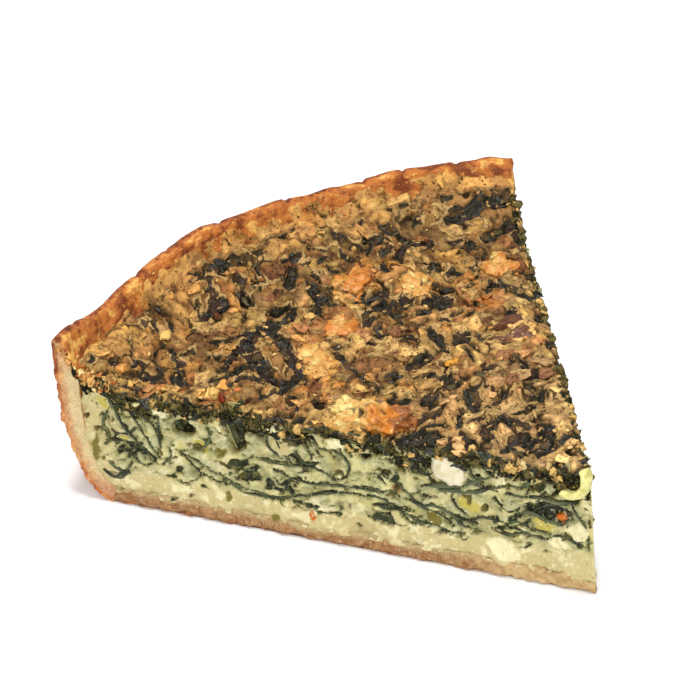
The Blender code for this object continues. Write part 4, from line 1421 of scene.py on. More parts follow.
def rim_folds(angle):
    """Soft folds across the rim, where the pastry sagged in the tin."""
    round_it = np.column_stack([angle * RIM_RADIUS, 0 * angle, 0 * angle])
    fold = 1 - np.abs(swells(round_it, 13, 122)) / 0.12
    return 0.5 * rough(round_it, 8, 123, 2) - 0.6 * smooth(fold)


def pastry_crumb(points):
    """How far the crumb stands out of a cut."""
    return 0.4 * (grains(points, 1.3, 106) - 0.5) + 0.5 * rough(points, 2.4, 107, 3, 0.6) + 0.15


def wall_blank():
    """A box of small squares: x runs along the arc, y through the wall and z up it, all from 0 to 1."""
    round_it = 2 * (WALL_ROWS + WALL_COLUMNS)
    bm = bmesh.new()
    bmesh.ops.create_grid(bm, x_segments=WALL_STEPS, y_segments=round_it, size=0.5)
    sheet = len(bm.verts)
    for _ in range(2):
        bmesh.ops.create_grid(bm, x_segments=WALL_COLUMNS, y_segments=WALL_ROWS, size=0.5)
    mesh = mesh_from(bm, "pastry wall")
    places = places_of(mesh) + (0.5, 0.5, 0)
    # The large sheet is folded round the box: up the outside, over the crest, down the inside.
    way = places[:sheet, 1] * round_it
    corners = np.array((0, WALL_ROWS, WALL_ROWS + WALL_COLUMNS, 2 * WALL_ROWS + WALL_COLUMNS, round_it))
    places[:sheet, 1] = np.interp(way, corners, (0, 0, 1, 1, 0))
    places[:sheet, 2] = np.interp(way, corners, (0, 1, 1, 0, 0))
    # The two small ones are stood up as its ends.
    ends = places[sheet:].copy()
    places[sheet:, 0] = np.repeat((0, 1), len(ends) // 2)
    places[sheet:, 1:] = ends[:, :2]
    mesh.vertices.foreach_set("co", places.astype(np.float32).ravel())
    merged(mesh, 1e-5)
    return mesh


def make_pastry_wall(finish_used):
    mesh = wall_blank()
    blank = places_of(mesh)
    angle = blank[:, 0] * SLICE_ANGLE
    through, up = blank[:, 1], blank[:, 2]
    section, outer, inner = wall_places(up, through)
    deep = np.linalg.norm(section - outer, axis=1)
    deep_slope = np.linalg.norm(section - inner, axis=1) + 6 * smooth((SLOPE_FOOT - section[:, 1]) / 6 + 0.2)
    deep = np.minimum(deep, np.minimum(deep_slope, RIM_HEIGHT - section[:, 1] + 0.2))
    radius, z = section.T
    z = swelled(radius, angle, z)
    places = placed(radius, angle, z)
    # The blank's faces: out of the wall's outside, its crest and its inside, and out of the two cuts.
    turn = angle - half_angle
    outwards = np.column_stack([np.sin(turn), np.cos(turn), np.zeros(len(turn))])
    crest = smooth((up - 0.9) / 0.1)[:, None]
    way = outwards * (1 - crest * 0.6) + np.array((0, 0, 1.0)) * crest
    relief = pastry_relief(places)
    degrees = np.degrees(angle)
    lump = sum(high * np.exp(-(((degrees - at) / wide) ** 2)) for at, wide, high in RIM_LUMPS)
    places[:, 2] += (lump + rim_folds(angle)) * smooth((up - 0.86) / 0.14)
    on_outside = through < 1e-4
    on_inside = (through > 1 - 1e-4) & (up > 0.7)
    on_top = up > 1 - 1e-4
    fade = smooth(z / 2) * (1 + 0.8 * np.exp(-(((z - 20) / 8) ** 2))) * (1 - 0.8 * smooth((up - 0.8) / 0.1))
    places[on_outside | on_top] += (way * (relief * fade)[:, None])[on_outside | on_top]
    places[on_inside] += ((np.array((0, 0, 1.0)) - outwards) * 0.35 * relief[:, None])[on_inside]
    crumb = pastry_crumb(places)
    for outward, near in cut_sides(angle):
        places[near] += outward * (crumb - 0.5 * (deep < 0.3))[near, None]
    set_places(mesh, places)
    paint(mesh, deep=deep)
    cut = (angle < AT_CUT) | (angle > SLICE_ANGLE - AT_CUT)
    paint(
        mesh,
        cut=cut & (deep > 0.05), crest=smooth((up - 0.55) / 0.4),
        slope=smooth((through - 0.5) / 0.5) * (up > 0.7), height=section[:, 1],
        way_round=np.column_stack([angle * RIM_RADIUS * 0.6, section]),
    )
    return shown("pastry_wall", mesh, finish_used, "pastry", "crust")


def pastry_finish():
    """Baked short pastry: granular orange-brown skin, pale pink-cream crumb where cut."""
    made, tree = finish("baked pastry", 0.25)
    fine = noise_of(tree, 0.45, 3, 0.6)
    mid = noise_of(tree, 1.6, 4, 0.65)
    broad = noise_of(tree, 9, 3, 0.55)
    way_round = attribute(tree, "way_round", "Vector")
    stretched = add(tree, "VectorMath", {0: way_round, "Scale": MM}, operation="SCALE")
    folds = noise_of(tree, 3.6, 3, 0.6, stretched.outputs[0])
    height = attribute(tree, "height")
    skin = ramp(broad, 0.4, 0.6, seen(206, 122, 64), seen(228, 156, 92))
    # The skin's raised grains are painted lighter, as highlight, and its low ones darker, as shade.
    skin = tinted(
        skin,
        (mid, 0.52, 0.64, 0.8, seen(242, 186, 120)),
        (mid, 0.46, 0.36, 0.85, seen(158, 76, 32)),
    )
    # The crest is reddish brown, and the slope inside it golden and creased across. The creases are painted
    # shade, the slope's shiny patches painted highlights, and raised grains are painted lighter and low ones
    # darker, as highlight and shade.
    baked = ramp(mid, 0.4, 0.6, seen(124, 56, 24), seen(188, 102, 48))
    golden = ramp(folds, 0.38, 0.54, seen(130, 62, 22), seen(204, 120, 50))
    golden = tinted(
        golden,
        (folds, 0.56, 0.64, 1, seen(244, 186, 96)),
        (mid, 0.56, 0.68, 0.6, seen(242, 180, 96)),
        (mid, 0.42, 0.34, 0.5, seen(132, 68, 26)),
    )
    baked = tinted(
        baked,
        (folds, 0.53, 0.6, 0.85, seen(222, 142, 68)),
        (folds, 0.44, 0.36, 0.8, seen(104, 48, 20)),
    )
    inward = between(maths("MULTIPLY_ADD", mid, 1.2, attribute(tree, "slope")), 0.75, 1.2)
    baked = mixed(inward, baked, golden)
    skin = mixed(attribute(tree, "crest"), skin, baked)
    # Cut crumb: brown at the foot, pinkish in the wall, and soaked to cream next to the custard.
    crumb = ramp(mid, 0.42, 0.58, PINK_CREAM, seen(204, 150, 104))
    crumb = tinted(crumb, (height, 9, 2, 1, seen(204, 150, 110)))
    soaked = stirred(mid, 2.5, attribute(tree, "deep"))
    soaked = maths("MULTIPLY", between(soaked, 2.2, 3.8), between(height, 4, 8))
    crumb = mixed(soaked, crumb, seen(228, 204, 152))
    crumb = tinted(
        crumb,
        (fine, 0.42, 0.32, 0.7, seen(150, 92, 54)),
        (fine, 0.6, 0.7, 0.9, seen(252, 232, 194)),
    )
    deep = stirred(mid, 2.4, attribute(tree, "deep"))
    inside = maths("MULTIPLY", between(deep, 0.8, 1.9), attribute(tree, "cut"))
    colour = mixed(inside, skin, crumb)
    # Light spots on the fine grain are painted highlights.
    colour = tinted(colour, (fine, 0.64, 0.72, 0.5, seen(252, 222, 160)))
    relief = maths("MULTIPLY_ADD", mid, 1.5, fine)
    return dressed(made, colour, between(mid, 0.3, 0.7, 0.5, 0.7), relief, 0.3, 1.0)


pastry = pastry_finish()
make_pastry_wall(pastry)

# %% [markdown]
# The base is the same kind of sheet as the filling's top, drawn down over its thickness. Its underside
# is smooth from the tin, its sides are crumbly, and its top is hidden.

# %% Make the pastry base
BASE_FACETS = 320
BASE_ROWS = 15
INTO_WALL = 1.8  # how far the base runs on into the wall


def make_pastry_base(finish_used):
    bm = three_cornered_sheet(BASE_FACETS)
    drawn_down(bm, BASE_ROWS)
    mesh = mesh_from(bm, "pastry base")
    flat = places_of(mesh)
    share, angle = wedge_places(flat)
    # The sheet is the underside, so rows count upwards.
    z = -flat[:, 2] / BASE_ROWS * (BASE_THICKNESS - 0.1)
    radius = share * (INNER_BASE_RADIUS + INTO_WALL - 0.15 * z)
    places = placed(radius, angle, z)
    side = flat[:, 2] < -0.5
    edge = flat[:, 2] >= -0.5
    relief = pastry_relief(places)
    crumb = pastry_crumb(places)
    rounded = 0.5 * np.exp(-z / 0.5)
    for outward, near in cut_sides(angle):
        near = near & (radius > 0.4)
        uneven = 0.3 * swells(places, 3, 140)
        places[near] += outward * (crumb - rounded + uneven)[near, None]
    places[edge, 2] += 0.12 + 0.12 * np.clip(relief[edge], -1, 1)
    top_row = flat[:, 2] <= -BASE_ROWS + 0.5
    places[top_row, 2] += 0.5 * rough(places, 1.8, 108, 3, 0.6)[top_row]
    places[:, 2] = np.maximum(places[:, 2], 0)
    bm = bmesh.new()
    bm.from_mesh(mesh)
    bmesh.ops.reverse_faces(bm, faces=bm.faces)
    bm.to_mesh(mesh)
    bm.free()
    set_places(mesh, places)
    paint(mesh, up=np.where(side, z, 0.0), from_tip=radius)
    return shown("pastry_base", mesh, finish_used, "pastry", "crust")


def pastry_base_finish():
    """The base where it is cut: brown below, and soaked and pale where it meets the custard."""
    made, tree = finish("pastry base", 0.2)
    fine = noise_of(tree, 0.45, 3, 0.6)
    mid = noise_of(tree, 1.6, 3, 0.6)
    broad = noise_of(tree, 8, 3, 0.55)
    wobble = maths("MULTIPLY", maths("SUBTRACT", mid, 0.5), 3.0)
    up = maths("ADD", attribute(tree, "up"), wobble)
    up = stirred(broad, 5.0, up)
    crumb = ramp(mid, 0.4, 0.62, seen(182, 140, 94), seen(150, 102, 62))
    crumb = tinted(
        crumb,
        (fine, 0.42, 0.3, 0.8, seen(116, 62, 34)),
        (fine, 0.6, 0.7, 0.9, seen(246, 220, 184)),
    )
    soaked = ramp(fine, 0.4, 0.65, seen(184, 160, 110), seen(206, 186, 136))
    colour = ramp(up, 2.2, 4.2, crumb, soaked)
    skin = ramp(mid, 0.4, 0.6, seen(124, 78, 42), seen(182, 122, 70))
    colour = tinted(colour, (up, 0.9, 0.1, 1, skin))
    beige = ramp(mid, 0.4, 0.65, seen(212, 180, 126), seen(184, 148, 98))
    near_tip = stirred(broad, 30.0, attribute(tree, "from_tip"))
    low_down = between(attribute(tree, "up"), 0.15, 0.5)
    at_tip = maths("MULTIPLY", between(near_tip, 30, 16), low_down)
    colour = mixed(at_tip, colour, beige)
    relief = maths("MULTIPLY_ADD", mid, 1.5, fine)
    return dressed(made, colour, 0.65, relief, 0.18, 0.9)


make_pastry_base(pastry_base_finish())

# %% [markdown]
# ## Toasted cheese
#
# Seven lumps of cheese stand out of the top. Each fine lump is a ball pushed to the size and place of its
# CAD node, with the turn that the CAD lump has, and then roughened: toasted cheese has a bubbled, craggy
# skin, yellow below and orange where it stood highest in the oven.

# %% Make the cheese lumps
# turn in degrees, how toasted from 0 to 1, and size
CHEESE_LUMPS = {
    "cheese_front": (128, 0.5, (19.0, 10.5, 9.4)), "cheese_back": (40, 0.6, (15.0, 7.0, 6.4)),
    "cheese_middle": (65, 0.3, (15.0, 7.5, 6.6)), "cheese_left": (66, 0.4, (22.0, 8.0, 5.2)),
    "cheese_small": (30, 0.6, (10.0, 5.5, 5.0)), "cheese_right": (-10, 2.2, (11.5, 5.5, 5.0)),
    "cheese_far": (70, 0.4, (12.0, 6.5, 4.8)),
}
LUMP_ROUGHNESS = 0.24
LUMP_FLATNESS = 0.6


def make_cheese(name, seed, finish_used):
    low, high = (np.array(corner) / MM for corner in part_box(name))
    middle = (low + high) / 2
    turn, toasted, size = CHEESE_LUMPS[name]
    bm = bmesh.new()
    bmesh.ops.create_icosphere(bm, subdivisions=6 if name == "cheese_front" else 5, radius=0.5)
    mesh = mesh_from(bm, name)
    ways = places_of(mesh)
    ways /= np.linalg.norm(ways, axis=1, keepdims=True)
    uneven = [
        1 + LUMP_ROUGHNESS * noise.noise(way * 1.7 + Vector((seed, 0, 0)))
        + LUMP_ROUGHNESS * noise.noise(way * 3.6 + Vector((0, seed, 0))) / 2
        for way in map(Vector, ways.tolist())
    ]
    places = ways * 0.5 * np.array(size) * np.array(uneven)[:, None]
    turned = np.array(Matrix.Rotation(math.radians(turn), 3, "Z"))
    places = places @ turned.T
    places += middle - (places.min(axis=0) + places.max(axis=0)) / 2
    outward = ways @ turned.T
    bent = places + 0.9 * np.column_stack([swells(places, 2.2, 124 + i) for i in range(3)])
    craggy = 1.9 * rough(bent, 5, 111, 3, 0.55) + 0.9 * flakes(bent, 3.4, 9)[0]
    craggy += 0.12 * rough(places, 0.9, 113, 2)
    places += outward * craggy[:, None] * (1.3, 1.3, 1)
    places[:, 2] = low[2] + (places[:, 2] - low[2]) * (1 if name == "cheese_front" else LUMP_FLATNESS)
    set_places(mesh, places)
    towards_front = (places - middle) @ np.array((0.5, -0.8, 0))
    slope = 0.1 if name == "cheese_front" else 0.04
    paint(mesh, toast=toasted + slope * towards_front + 0.25 * craggy, crag=craggy)
    return shown(name + "_toasted", mesh, finish_used, "browned_cheese", name)


def toasted_finish():
    """Toasted cheese: cream and yellow low down, orange and then red-brown where it is toasted most."""
    made, tree = finish("toasted cheese", 0.5)
    fine = noise_of(tree, 0.9, 3, 0.5)
    mid = noise_of(tree, 2.6, 3, 0.55)
    toast = stirred(mid, 2.2, attribute(tree, "toast"))
    colour = ramp(toast, -0.1, 0.3, seen(244, 216, 130), seen(222, 166, 84))
    # After the toasting colours, the low crags are painted dark as shade, and light spots on the fine grain
    # are painted highlights.
    colour = tinted(
        colour,
        (toast, 0.35, 1.0, 1, seen(212, 126, 34)),
        (toast, 1.1, 1.5, 1, seen(158, 92, 34)),
        (toast, 1.7, 2.0, 1, seen(112, 68, 48)),
        (fine, 0.42, 0.3, 0.7, seen(112, 60, 22)),
        (attribute(tree, "crag"), -0.5, -1.2, 0.9, seen(70, 40, 14)),
        (fine, 0.6, 0.7, 0.6, seen(250, 214, 140)),
    )
    return dressed(
        made, colour, between(mid, 0.3, 0.7, 0.35, 0.6), maths("ADD", fine, mid), 0.35, 0.8)


toasted = toasted_finish()
for number, node in enumerate(CHEESE_LUMPS, 1):
    make_cheese(node, number, toasted)

# %% [markdown]
# The cube of white cheese and the curl of leek show where the knife went through them. The CAD nodes
# have their shapes. A copy of each is merged, because a CAD mesh is loose triangles, and given finer
# facets, which take a little relief.

# %% Make the white cheese and the leek
def finer_copy(node, name, cuts, relief, width, seed):
    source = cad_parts[node].data
    bm = bmesh.new()
    bm.from_mesh(source)
    bmesh.ops.remove_doubles(bm, verts=bm.verts, dist=1e-6)
    for _ in range(cuts):
        bmesh.ops.subdivide_edges(bm, edges=bm.edges, cuts=1, use_grid_fill=True, smooth=0.4)
    bm.normal_update()
    mesh = mesh_from(bm, name)
    places = places_of(mesh) / MM
    normals = np.empty(len(mesh.vertices) * 3, dtype=np.float32)
    mesh.vertices.foreach_get("normal", normals)
    places += normals.reshape(-1, 3) * (relief * rough(places, width, seed, 3, 0.6))[:, None]
    set_places(mesh, places)
    return mesh


def feta_finish():
    """Crumbly white cheese, dull, with a few fine holes."""
    made, tree = finish("white cheese", 0.3)
    fine = noise_of(tree, 0.5, 3, 0.6)
    mid = noise_of(tree, 2.0, 2)
    colour = ramp(mid, 0.35, 0.65, seen(238, 228, 198), seen(222, 210, 168))
    colour = tinted(colour, (fine, 0.36, 0.26, 0.6, seen(180, 172, 130)))
    return dressed(made, colour, 0.6, fine, 0.2, 0.7)


def leek_finish():
    """Cooked leek: pale yellow-green, a little see-through, lighter in patches."""
    made, tree = finish("cooked leek", 0.5)
    mid = noise_of(tree, 1.6, 3)
    colour = ramp(mid, 0.35, 0.65, seen(196, 192, 96), seen(238, 228, 150))
    return dressed(made, colour, 0.38, mid, 0.25, 0.6)


shown("feta", finer_copy("feta_cube", "feta", 2, 0.22, 1.6, 121), feta_finish(), "white_cheese", "feta_cube")
shown("leek", finer_copy("leek_curl", "leek", 2, 0.15, 1.8, 122), leek_finish(), "leek", "leek_curl")

# %% [markdown]
# ## Loose leaves and crumbs
#
# What makes a baked top look real is what isn't part of its surface: scraps of leaf that curl up, crumbs
# of custard, and ragged bits along the cut edges. Each kind is one piece, made of many copies of a small
# blank, because a few dozen faces are enough for something a millimetre or two across. A copy is moved,
# turned and sized by arithmetic on its vertices.

# %% Strewing copies of a blank
def blank_scrap():
    """A small thin sheet with rounded, pointed ends, 1 long and 1 wide."""
    bm = bmesh.new()
    bmesh.ops.create_grid(bm, x_segments=6, y_segments=3, size=0.5)
    for vert in bm.verts:
        vert.co.y *= max(1 - (2 * vert.co.x) ** 2, 0.0) ** 0.5 * 0.9 + 0.1
    bmesh.ops.solidify(bm, geom=bm.faces, thickness=0.07)
    bmesh.ops.recalc_face_normals(bm, faces=bm.faces)
    return mesh_from(bm, "scrap")


def blank_crumb(subdivisions):
    bm = bmesh.new()
    bmesh.ops.create_icosphere(bm, subdivisions=subdivisions, radius=0.5)
    return mesh_from(bm, "crumb")


def strewn(name, blank, middles, ways, ups, sizes, seed, uneven, finish_used, body_slot):
    """Copies of a blank at these middles, with their lengths along ways and their tops towards ups."""
    bm = bmesh.new()
    for _ in range(len(middles)):
        bm.from_mesh(blank)
    mesh = mesh_from(bm, name)
    copies = places_of(mesh).reshape(len(middles), -1, 3)
    draw = np.random.default_rng(seed)
    numbered = copies + draw.uniform(0, 900, (len(middles), 1, 3))
    flat = numbered.reshape(-1, 3)
    shift = np.column_stack([swells(flat, 0.55, 131 + i) for i in range(3)]).reshape(copies.shape)
    copies = (copies + uneven * shift) * sizes[:, None, :]
    ways = ways / np.linalg.norm(ways, axis=1, keepdims=True)
    sides = np.cross(ups, ways)
    sides /= np.linalg.norm(sides, axis=1, keepdims=True)
    ups = np.cross(ways, sides)
    axes = np.stack([ways, sides, ups], axis=1)
    set_places(mesh, (np.einsum("cvi,cij->cvj", copies, axes) + middles[:, None]).reshape(-1, 3))
    paint(mesh, tone=np.repeat(draw.uniform(0, 1, len(middles)), copies.shape[1]))
    return shown(name, mesh, finish_used, body_slot)


def turned_ways(turns, rise):
    turns = np.radians(turns)
    return np.column_stack([np.cos(turns), np.sin(turns), rise])


def strewn_scraps(name, draw, places, turns, tilt, lean, long, wide, thick, seed, uneven, finish_used):
    """Scraps that lie on the top at these places and turns. Long, wide and thick are ranges."""
    count = len(places)
    ways = turned_ways(turns, draw.normal(0, tilt, count))
    ups = np.column_stack([draw.normal(0, lean, (count, 2)), np.ones(count)])
    long = draw.uniform(*long, count)
    sizes = np.column_stack([long, long * draw.uniform(*wide, count), draw.uniform(*thick, count)])
    return strewn(name, blank_scrap(), places, ways, ups, sizes, seed, uneven, finish_used, "custard")


def strewn_crumbs(name, draw, places, size, evenness, seed, uneven, finish_used, body_slot="custard"):
    """Crumbs at these places. Size is the smallest, what a large one adds, and how rare large ones are."""
    count = len(places)
    smallest, added, rarity = size
    sizes = (smallest + added * draw.uniform(0, 1, count) ** rarity)[:, None]
    sizes = sizes * draw.uniform(*evenness, (count, 3))
    ways = draw.normal(0, 1, (count, 3))
    ups = draw.normal(0, 1, (count, 3))
    strewn(name, blank_crumb(2), places, ways, ups, sizes, seed, uneven, finish_used, body_slot)


# %% [markdown]
# Leaf scraps lie where the leaves are, along the same flow. The surface function gives the height under
# each one. Those that fall on custard are dropped, and the others are sunk so that one end sticks out.

# %% Leaf scraps on the top
TOP_SCRAPS = 800


def leaf_finish(name, shine, width, dark, light, roughness, *layers):
    """Spinach leaf, from dark to light, with some of its scraps in other colours."""
    made, tree = finish(name, shine)
    fine = noise_of(tree, width, 3)
    colour = ramp(fine, 0.4, 0.7, dark, light)
    tone = attribute(tree, "tone")
    colour = tinted(colour, *((tone, *layer) for layer in layers))
    return dressed(made, colour, roughness, fine, 0.15, 0.8)


def wedge_draw(draw, count):
    """Evenly spread radii and angles on the top."""
    radius = INNER_RADIUS * np.sqrt(draw.uniform(0.001, 0.98, count))
    return radius, draw.uniform(0.01, 0.99, count) * SLICE_ANGLE


def make_top_scraps(finish_used):
    draw = np.random.default_rng(141)
    places, spread, depth = top_surface(*wedge_draw(draw, TOP_SCRAPS))[:3]
    kept = depth > 0.05
    places, spread = places[kept], spread[kept]
    turns = 35 + 90 * swells(spread * (1, 1, 0), 22, 5) + draw.normal(0, 30, len(places))
    strewn_scraps("leaf_scraps", draw, places + (0, 0, 0.12), turns, 0.16, 0.22,
                  (1.4, 4.2), (0.25, 0.55), (1.2, 2.2), 142, 0.16, finish_used)


# Dried leaf is charcoal, and wet leaf at a cut black green. Some is olive, and some coated with custard.
dried_leaf = leaf_finish(
    "dried spinach leaf", 0.25, 0.5, seen(30, 28, 20), seen(76, 70, 62), 0.45,
    (0.75, 0.8, 0.7, seen(96, 84, 46)),
    (0.92, 0.95, 0.8, seen(196, 156, 92)),
)
wet_leaf = leaf_finish(
    "wet spinach leaf", 0.4, 0.6, seen(20, 22, 6), seen(66, 70, 34), 0.42,
    (0.7, 0.8, 0.7, seen(104, 98, 44)),
    (0.93, 0.96, 0.9, seen(206, 190, 120)),
)
make_top_scraps(dried_leaf)

# %% [markdown]
# Thin flakes of browned custard have come loose all over the top. They use the same blank, wider and more
# uneven, and each has the colour of the skin under it, a little paler.

# %% Custard flakes on the top
TOP_FLAKES = 240


def flake_finish():
    """Thin browned custard, in the colour of the skin under it, paler and darker in spots."""
    made, tree = finish("custard flakes", 0.1)
    fine = noise_of(tree, 1.2, 3, 0.55)
    colour = attribute(tree, "flake_colour", "Color")
    colour = mixed(between(fine, 0.46, 0.38), colour, (0.45, 0.4, 0.35), "MULTIPLY")
    colour = mixed(between(fine, 0.54, 0.62), colour, (1.4, 1.4, 1.3), "MULTIPLY")
    return dressed(made, colour, 0.6, fine, 0.3, 0.9)


def make_top_flakes(finish_used):
    draw = np.random.default_rng(145)
    places, spread, depth, _, _, tone, _, _, film_share = top_surface(*wedge_draw(draw, TOP_FLAKES))
    kept = depth < draw.uniform(-0.9, 0.3, TOP_FLAKES)
    colour = browned_colour(spread, tone, film_share)[kept] * 1.15
    places = places[kept]
    count = len(places)
    turns = draw.uniform(0, 360, count)
    piece = strewn_scraps("custard_flakes", draw, places + (0, 0, 0.1), turns, 0.1, 0.15,
                          (1.8, 5.0), (0.4, 0.8), (2.5, 5), 146, 0.32, finish_used)
    paint(piece.data, flake_colour=np.repeat(colour, len(piece.data.vertices) // count, axis=0))


make_top_flakes(flake_finish())

# %% [markdown]
# Along the cuts the leaves of the top are torn across. They hang over the edge and stick out of it, so
# these scraps are strewn in a band under the edge, and stand out of the cut by different amounts.

# %% Scraps and crumbs along the cut edges
EDGE_SCRAPS = 300
EDGE_CRUMBS = 420


def edge_places(draw, count, right, lowest, highest):
    """Places near the top edge of a cut side, from lowest to highest over the filling's top."""
    radius = draw.uniform(2, INNER_RADIUS - 1, count)
    angle = np.full(count, SLICE_ANGLE - 0.004 if right else 0.004)
    places = top_surface(radius, angle)[0]
    places[:, 2] += draw.uniform(lowest, highest, count)
    return places


def make_edge_bits(side, right, finish_used, crumb_finish_used):
    draw = np.random.default_rng(151 + right)
    scraps_here = EDGE_SCRAPS // 3 if right else EDGE_SCRAPS
    outward = right_outward if right else left_outward
    way = right_way if right else left_way
    places = edge_places(draw, scraps_here, right, -2.6, 0.5)
    places += outward * draw.uniform(-1, -0.2 if right else 0.4, scraps_here)[:, None]
    lean = draw.normal(0, 0.5, scraps_here)
    ways = way * np.sign(draw.normal(0, 1, scraps_here))[:, None] + np.outer(lean, (0, 0, 1))
    ways += outward * draw.normal(0, 0.35, scraps_here)[:, None]
    ups = outward * draw.uniform(0.2, 1, scraps_here)[:, None]
    ups += np.outer(draw.normal(0, 0.7, scraps_here), (0, 0, 1))
    long = draw.uniform(1.0, 4.5, scraps_here)
    wide = long * draw.uniform(0.3, 0.6, scraps_here)
    sizes = np.column_stack([long, wide, draw.uniform(1.5, 3, scraps_here)])
    strewn(f"{side}_edge_scraps", blank_scrap(), places, ways, ups, sizes, 153 + right, 0.3,
           finish_used, "custard")
    places = edge_places(draw, EDGE_CRUMBS, right, -2.6, 0.6)
    places += outward * draw.uniform(-0.6, 0.2 if right else 0.5, EDGE_CRUMBS)[:, None]
    strewn_crumbs(f"{side}_edge_crumbs", draw, places, (0.5, 1.7, 2), (0.6, 1.2), 155 + right, 0.6,
                  crumb_finish_used)


def crumb_finish(name, dark, light, golden):
    """Loose crumbs, from dark to light, a few of them golden."""
    made, tree = finish(name, 0.2)
    fine = noise_of(tree, 0.45, 3)
    tone = attribute(tree, "tone")
    colour = ramp(tone, 0.1, 0.7, dark, light)
    colour = tinted(
        colour,
        (tone, 0.8, 0.85, 1, golden),
        (fine, 0.5, 0.35, 0.55, dark * 0.6),
    )
    return dressed(made, colour, 0.6, fine, 0.15, 0.8)


edge_crumbs = crumb_finish("crumbs at the cut", seen(34, 32, 10), seen(112, 98, 48), seen(222, 180, 104))
make_edge_bits("left", False, wet_leaf, edge_crumbs)
make_edge_bits("right", True, wet_leaf, edge_crumbs)

# %% [markdown]
# Crumbs of browned custard lie all over the top, and golden pastry crumbs where the knife broke the rim
# at the left.

# %% Crumbs on the top and at the rim
TOP_CRUMBS = 160
RIM_CRUMBS = 300


def make_top_crumbs(finish_used):
    draw = np.random.default_rng(161)
    radius, angle = wedge_draw(draw, TOP_CRUMBS)
    places = top_surface(radius, angle)[0]
    strewn_crumbs("top_crumbs", draw, places + (0, 0, 0.1), (0.35, 1.1, 2.5), (0.6, 1.3), 162, 0.35,
                  finish_used)


def make_rim_crumbs(finish_used):
    draw = np.random.default_rng(163)
    radius = draw.uniform(116, 129, RIM_CRUMBS)
    angle = np.radians(np.abs(draw.normal(0, 0.9, RIM_CRUMBS)))
    height = np.interp(radius, (116, 121, 124, 127, 129), (31.6, 33, 34.6, 39.4, 40.4))
    height -= draw.uniform(0, 2.4, RIM_CRUMBS)
    places = placed(radius, angle, swelled(radius, angle, height))
    places = places + left_outward * draw.uniform(-0.2, 0.5, RIM_CRUMBS)[:, None]
    strewn_crumbs("rim_crumbs", draw, places, (0.45, 1.1, 2), (0.7, 1.3), 164, 0.4, finish_used, "pastry")


make_top_crumbs(crumb_finish("custard crumbs", seen(120, 80, 40), seen(220, 170, 96), seen(240, 196, 120)))
make_rim_crumbs(crumb_finish("pastry crumbs", seen(176, 104, 44), seen(240, 190, 110), seen(252, 220, 150)))

# %% [markdown]
# A few larger bits have places of their own: golden crumbs where the knife went in, one dark red bit of
# dried tomato among them, curled strips of custard in the hollow at the back, and ragged bits at the tip.

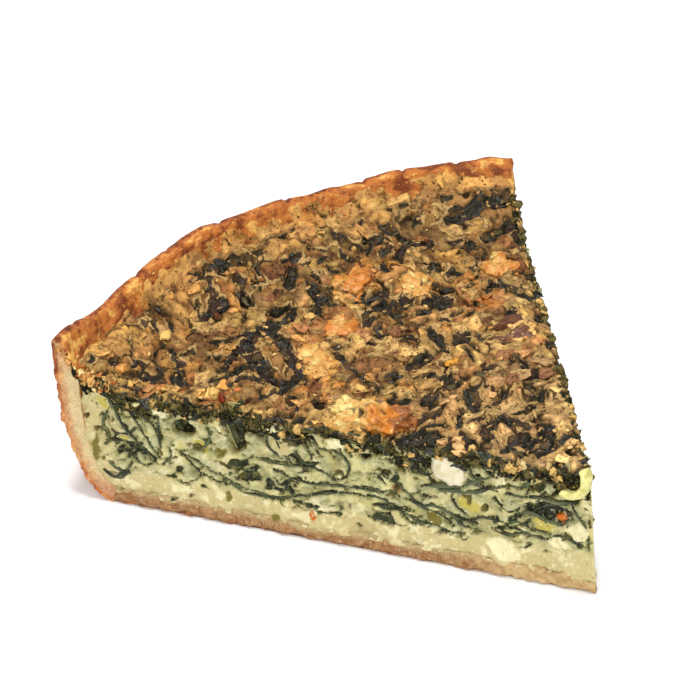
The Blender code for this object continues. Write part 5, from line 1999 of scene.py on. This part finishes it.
# %% Larger bits
# x, y, length, width, height, turn in degrees, how far over the top, colour
LARGER_BITS = (
    (-39, 43.5, 4.4, 3.2, 1.2, 20, 0.5, seen(238, 196, 112)),
    (-56, 37, 3.2, 2.6, 1.8, 0, 0.3, seen(228, 158, 80)),
    (-45.6, 15, 3.4, 2.6, 2.4, 30, 0.3, seen(238, 192, 106)),
    (-42, 16, 3.4, 2.2, 2.4, -20, 0.3, seen(230, 164, 78)),
    (-44.6, 13, 2.6, 1.8, 2.2, 60, 0.6, seen(124, 40, 6)),
    (-47.6, 17, 2.4, 1.8, 1.6, 0, 0.2, seen(236, 180, 100)),
    (-39.6, 13, 2.4, 1.8, 1.6, 0, 0.2, seen(204, 120, 60)),
    (-52, 26.5, 2.2, 1.8, 1.4, 0, 0.3, seen(222, 150, 80)),
    (5.5, -9.5, 3.4, 2.2, 1.4, 0, 0.2, seen(236, 168, 64)),
    (-24, -8, 3.4, 2.6, 2, 50, 0.4, seen(196, 104, 60)),
    (-21.5, 46.5, 6.4, 1.7, 1.8, 80, 0.1, seen(108, 64, 34)),
    (-17.4, 45.6, 8, 2.0, 2.6, 76, 0.4, seen(204, 146, 78)),
    (-4.6, -56, 2.8, 1.6, 1.8, 40, 0.3, seen(206, 176, 110)),
    (-8, -51, 3.4, 1.3, 2.2, 64, 0.4, seen(212, 190, 128)),
    (-1.6, -59.4, 2.6, 1.4, 2.2, 50, 0.2, seen(204, 190, 128)),
    (3.4, -57, 2.6, 1.4, 1.6, -60, 0.3, seen(190, 150, 84)),
    (-30.6, -9, 3, 1.8, 1.8, 60, 0.2, seen(190, 146, 90)),
    (27, -5.4, 7.4, 3.6, 2.6, -10, 0.3, seen(112, 68, 46)),
    (12, -24, 5, 3.2, 2, 20, 0.2, seen(146, 98, 60)),
    (20.6, -26, 4.6, 2.8, 2, -30, 0.2, seen(150, 102, 62)),
    (18.4, -14.4, 5, 3.4, 2.2, 10, 0.2, seen(158, 108, 66)),
)


def bit_finish():
    """Browned bits, each with its own colour, mottled and dry."""
    made, tree = finish("larger bits", 0.25)
    fine = noise_of(tree, 0.8, 3)
    colour = attribute(tree, "bit_colour", "Color")
    colour = mixed(between(fine, 0.5, 0.35), colour, (0.45, 0.4, 0.35), "MULTIPLY")
    colour = mixed(between(fine, 0.56, 0.66), colour, (1.3, 1.3, 1.3), "MULTIPLY")
    return dressed(made, colour, 0.55, fine, 0.25, 0.8)


def make_larger_bits(finish_used):
    numbers = np.array([bit[:7] for bit in LARGER_BITS], dtype=float)
    count = len(numbers)
    from_tip = numbers[:, :2] - (0, TIP[1])
    radius = np.hypot(from_tip[:, 0], from_tip[:, 1])
    angle = half_angle + np.arctan2(from_tip[:, 0], from_tip[:, 1])
    places = top_surface(radius, angle)[0] + np.outer(numbers[:, 6], (0, 0, 1))
    ways = turned_ways(numbers[:, 5], np.zeros(count))
    shown_bits = strewn("larger_bits", blank_crumb(3), places, ways, np.tile((0.0, 0.0, 1.0), (count, 1)),
                        numbers[:, 2:5], 171, 0.3, finish_used, "custard")
    mesh = shown_bits.data
    each = len(mesh.vertices) // count
    paint(mesh, bit_colour=np.repeat([bit[7] for bit in LARGER_BITS], each, axis=0))


make_larger_bits(bit_finish())
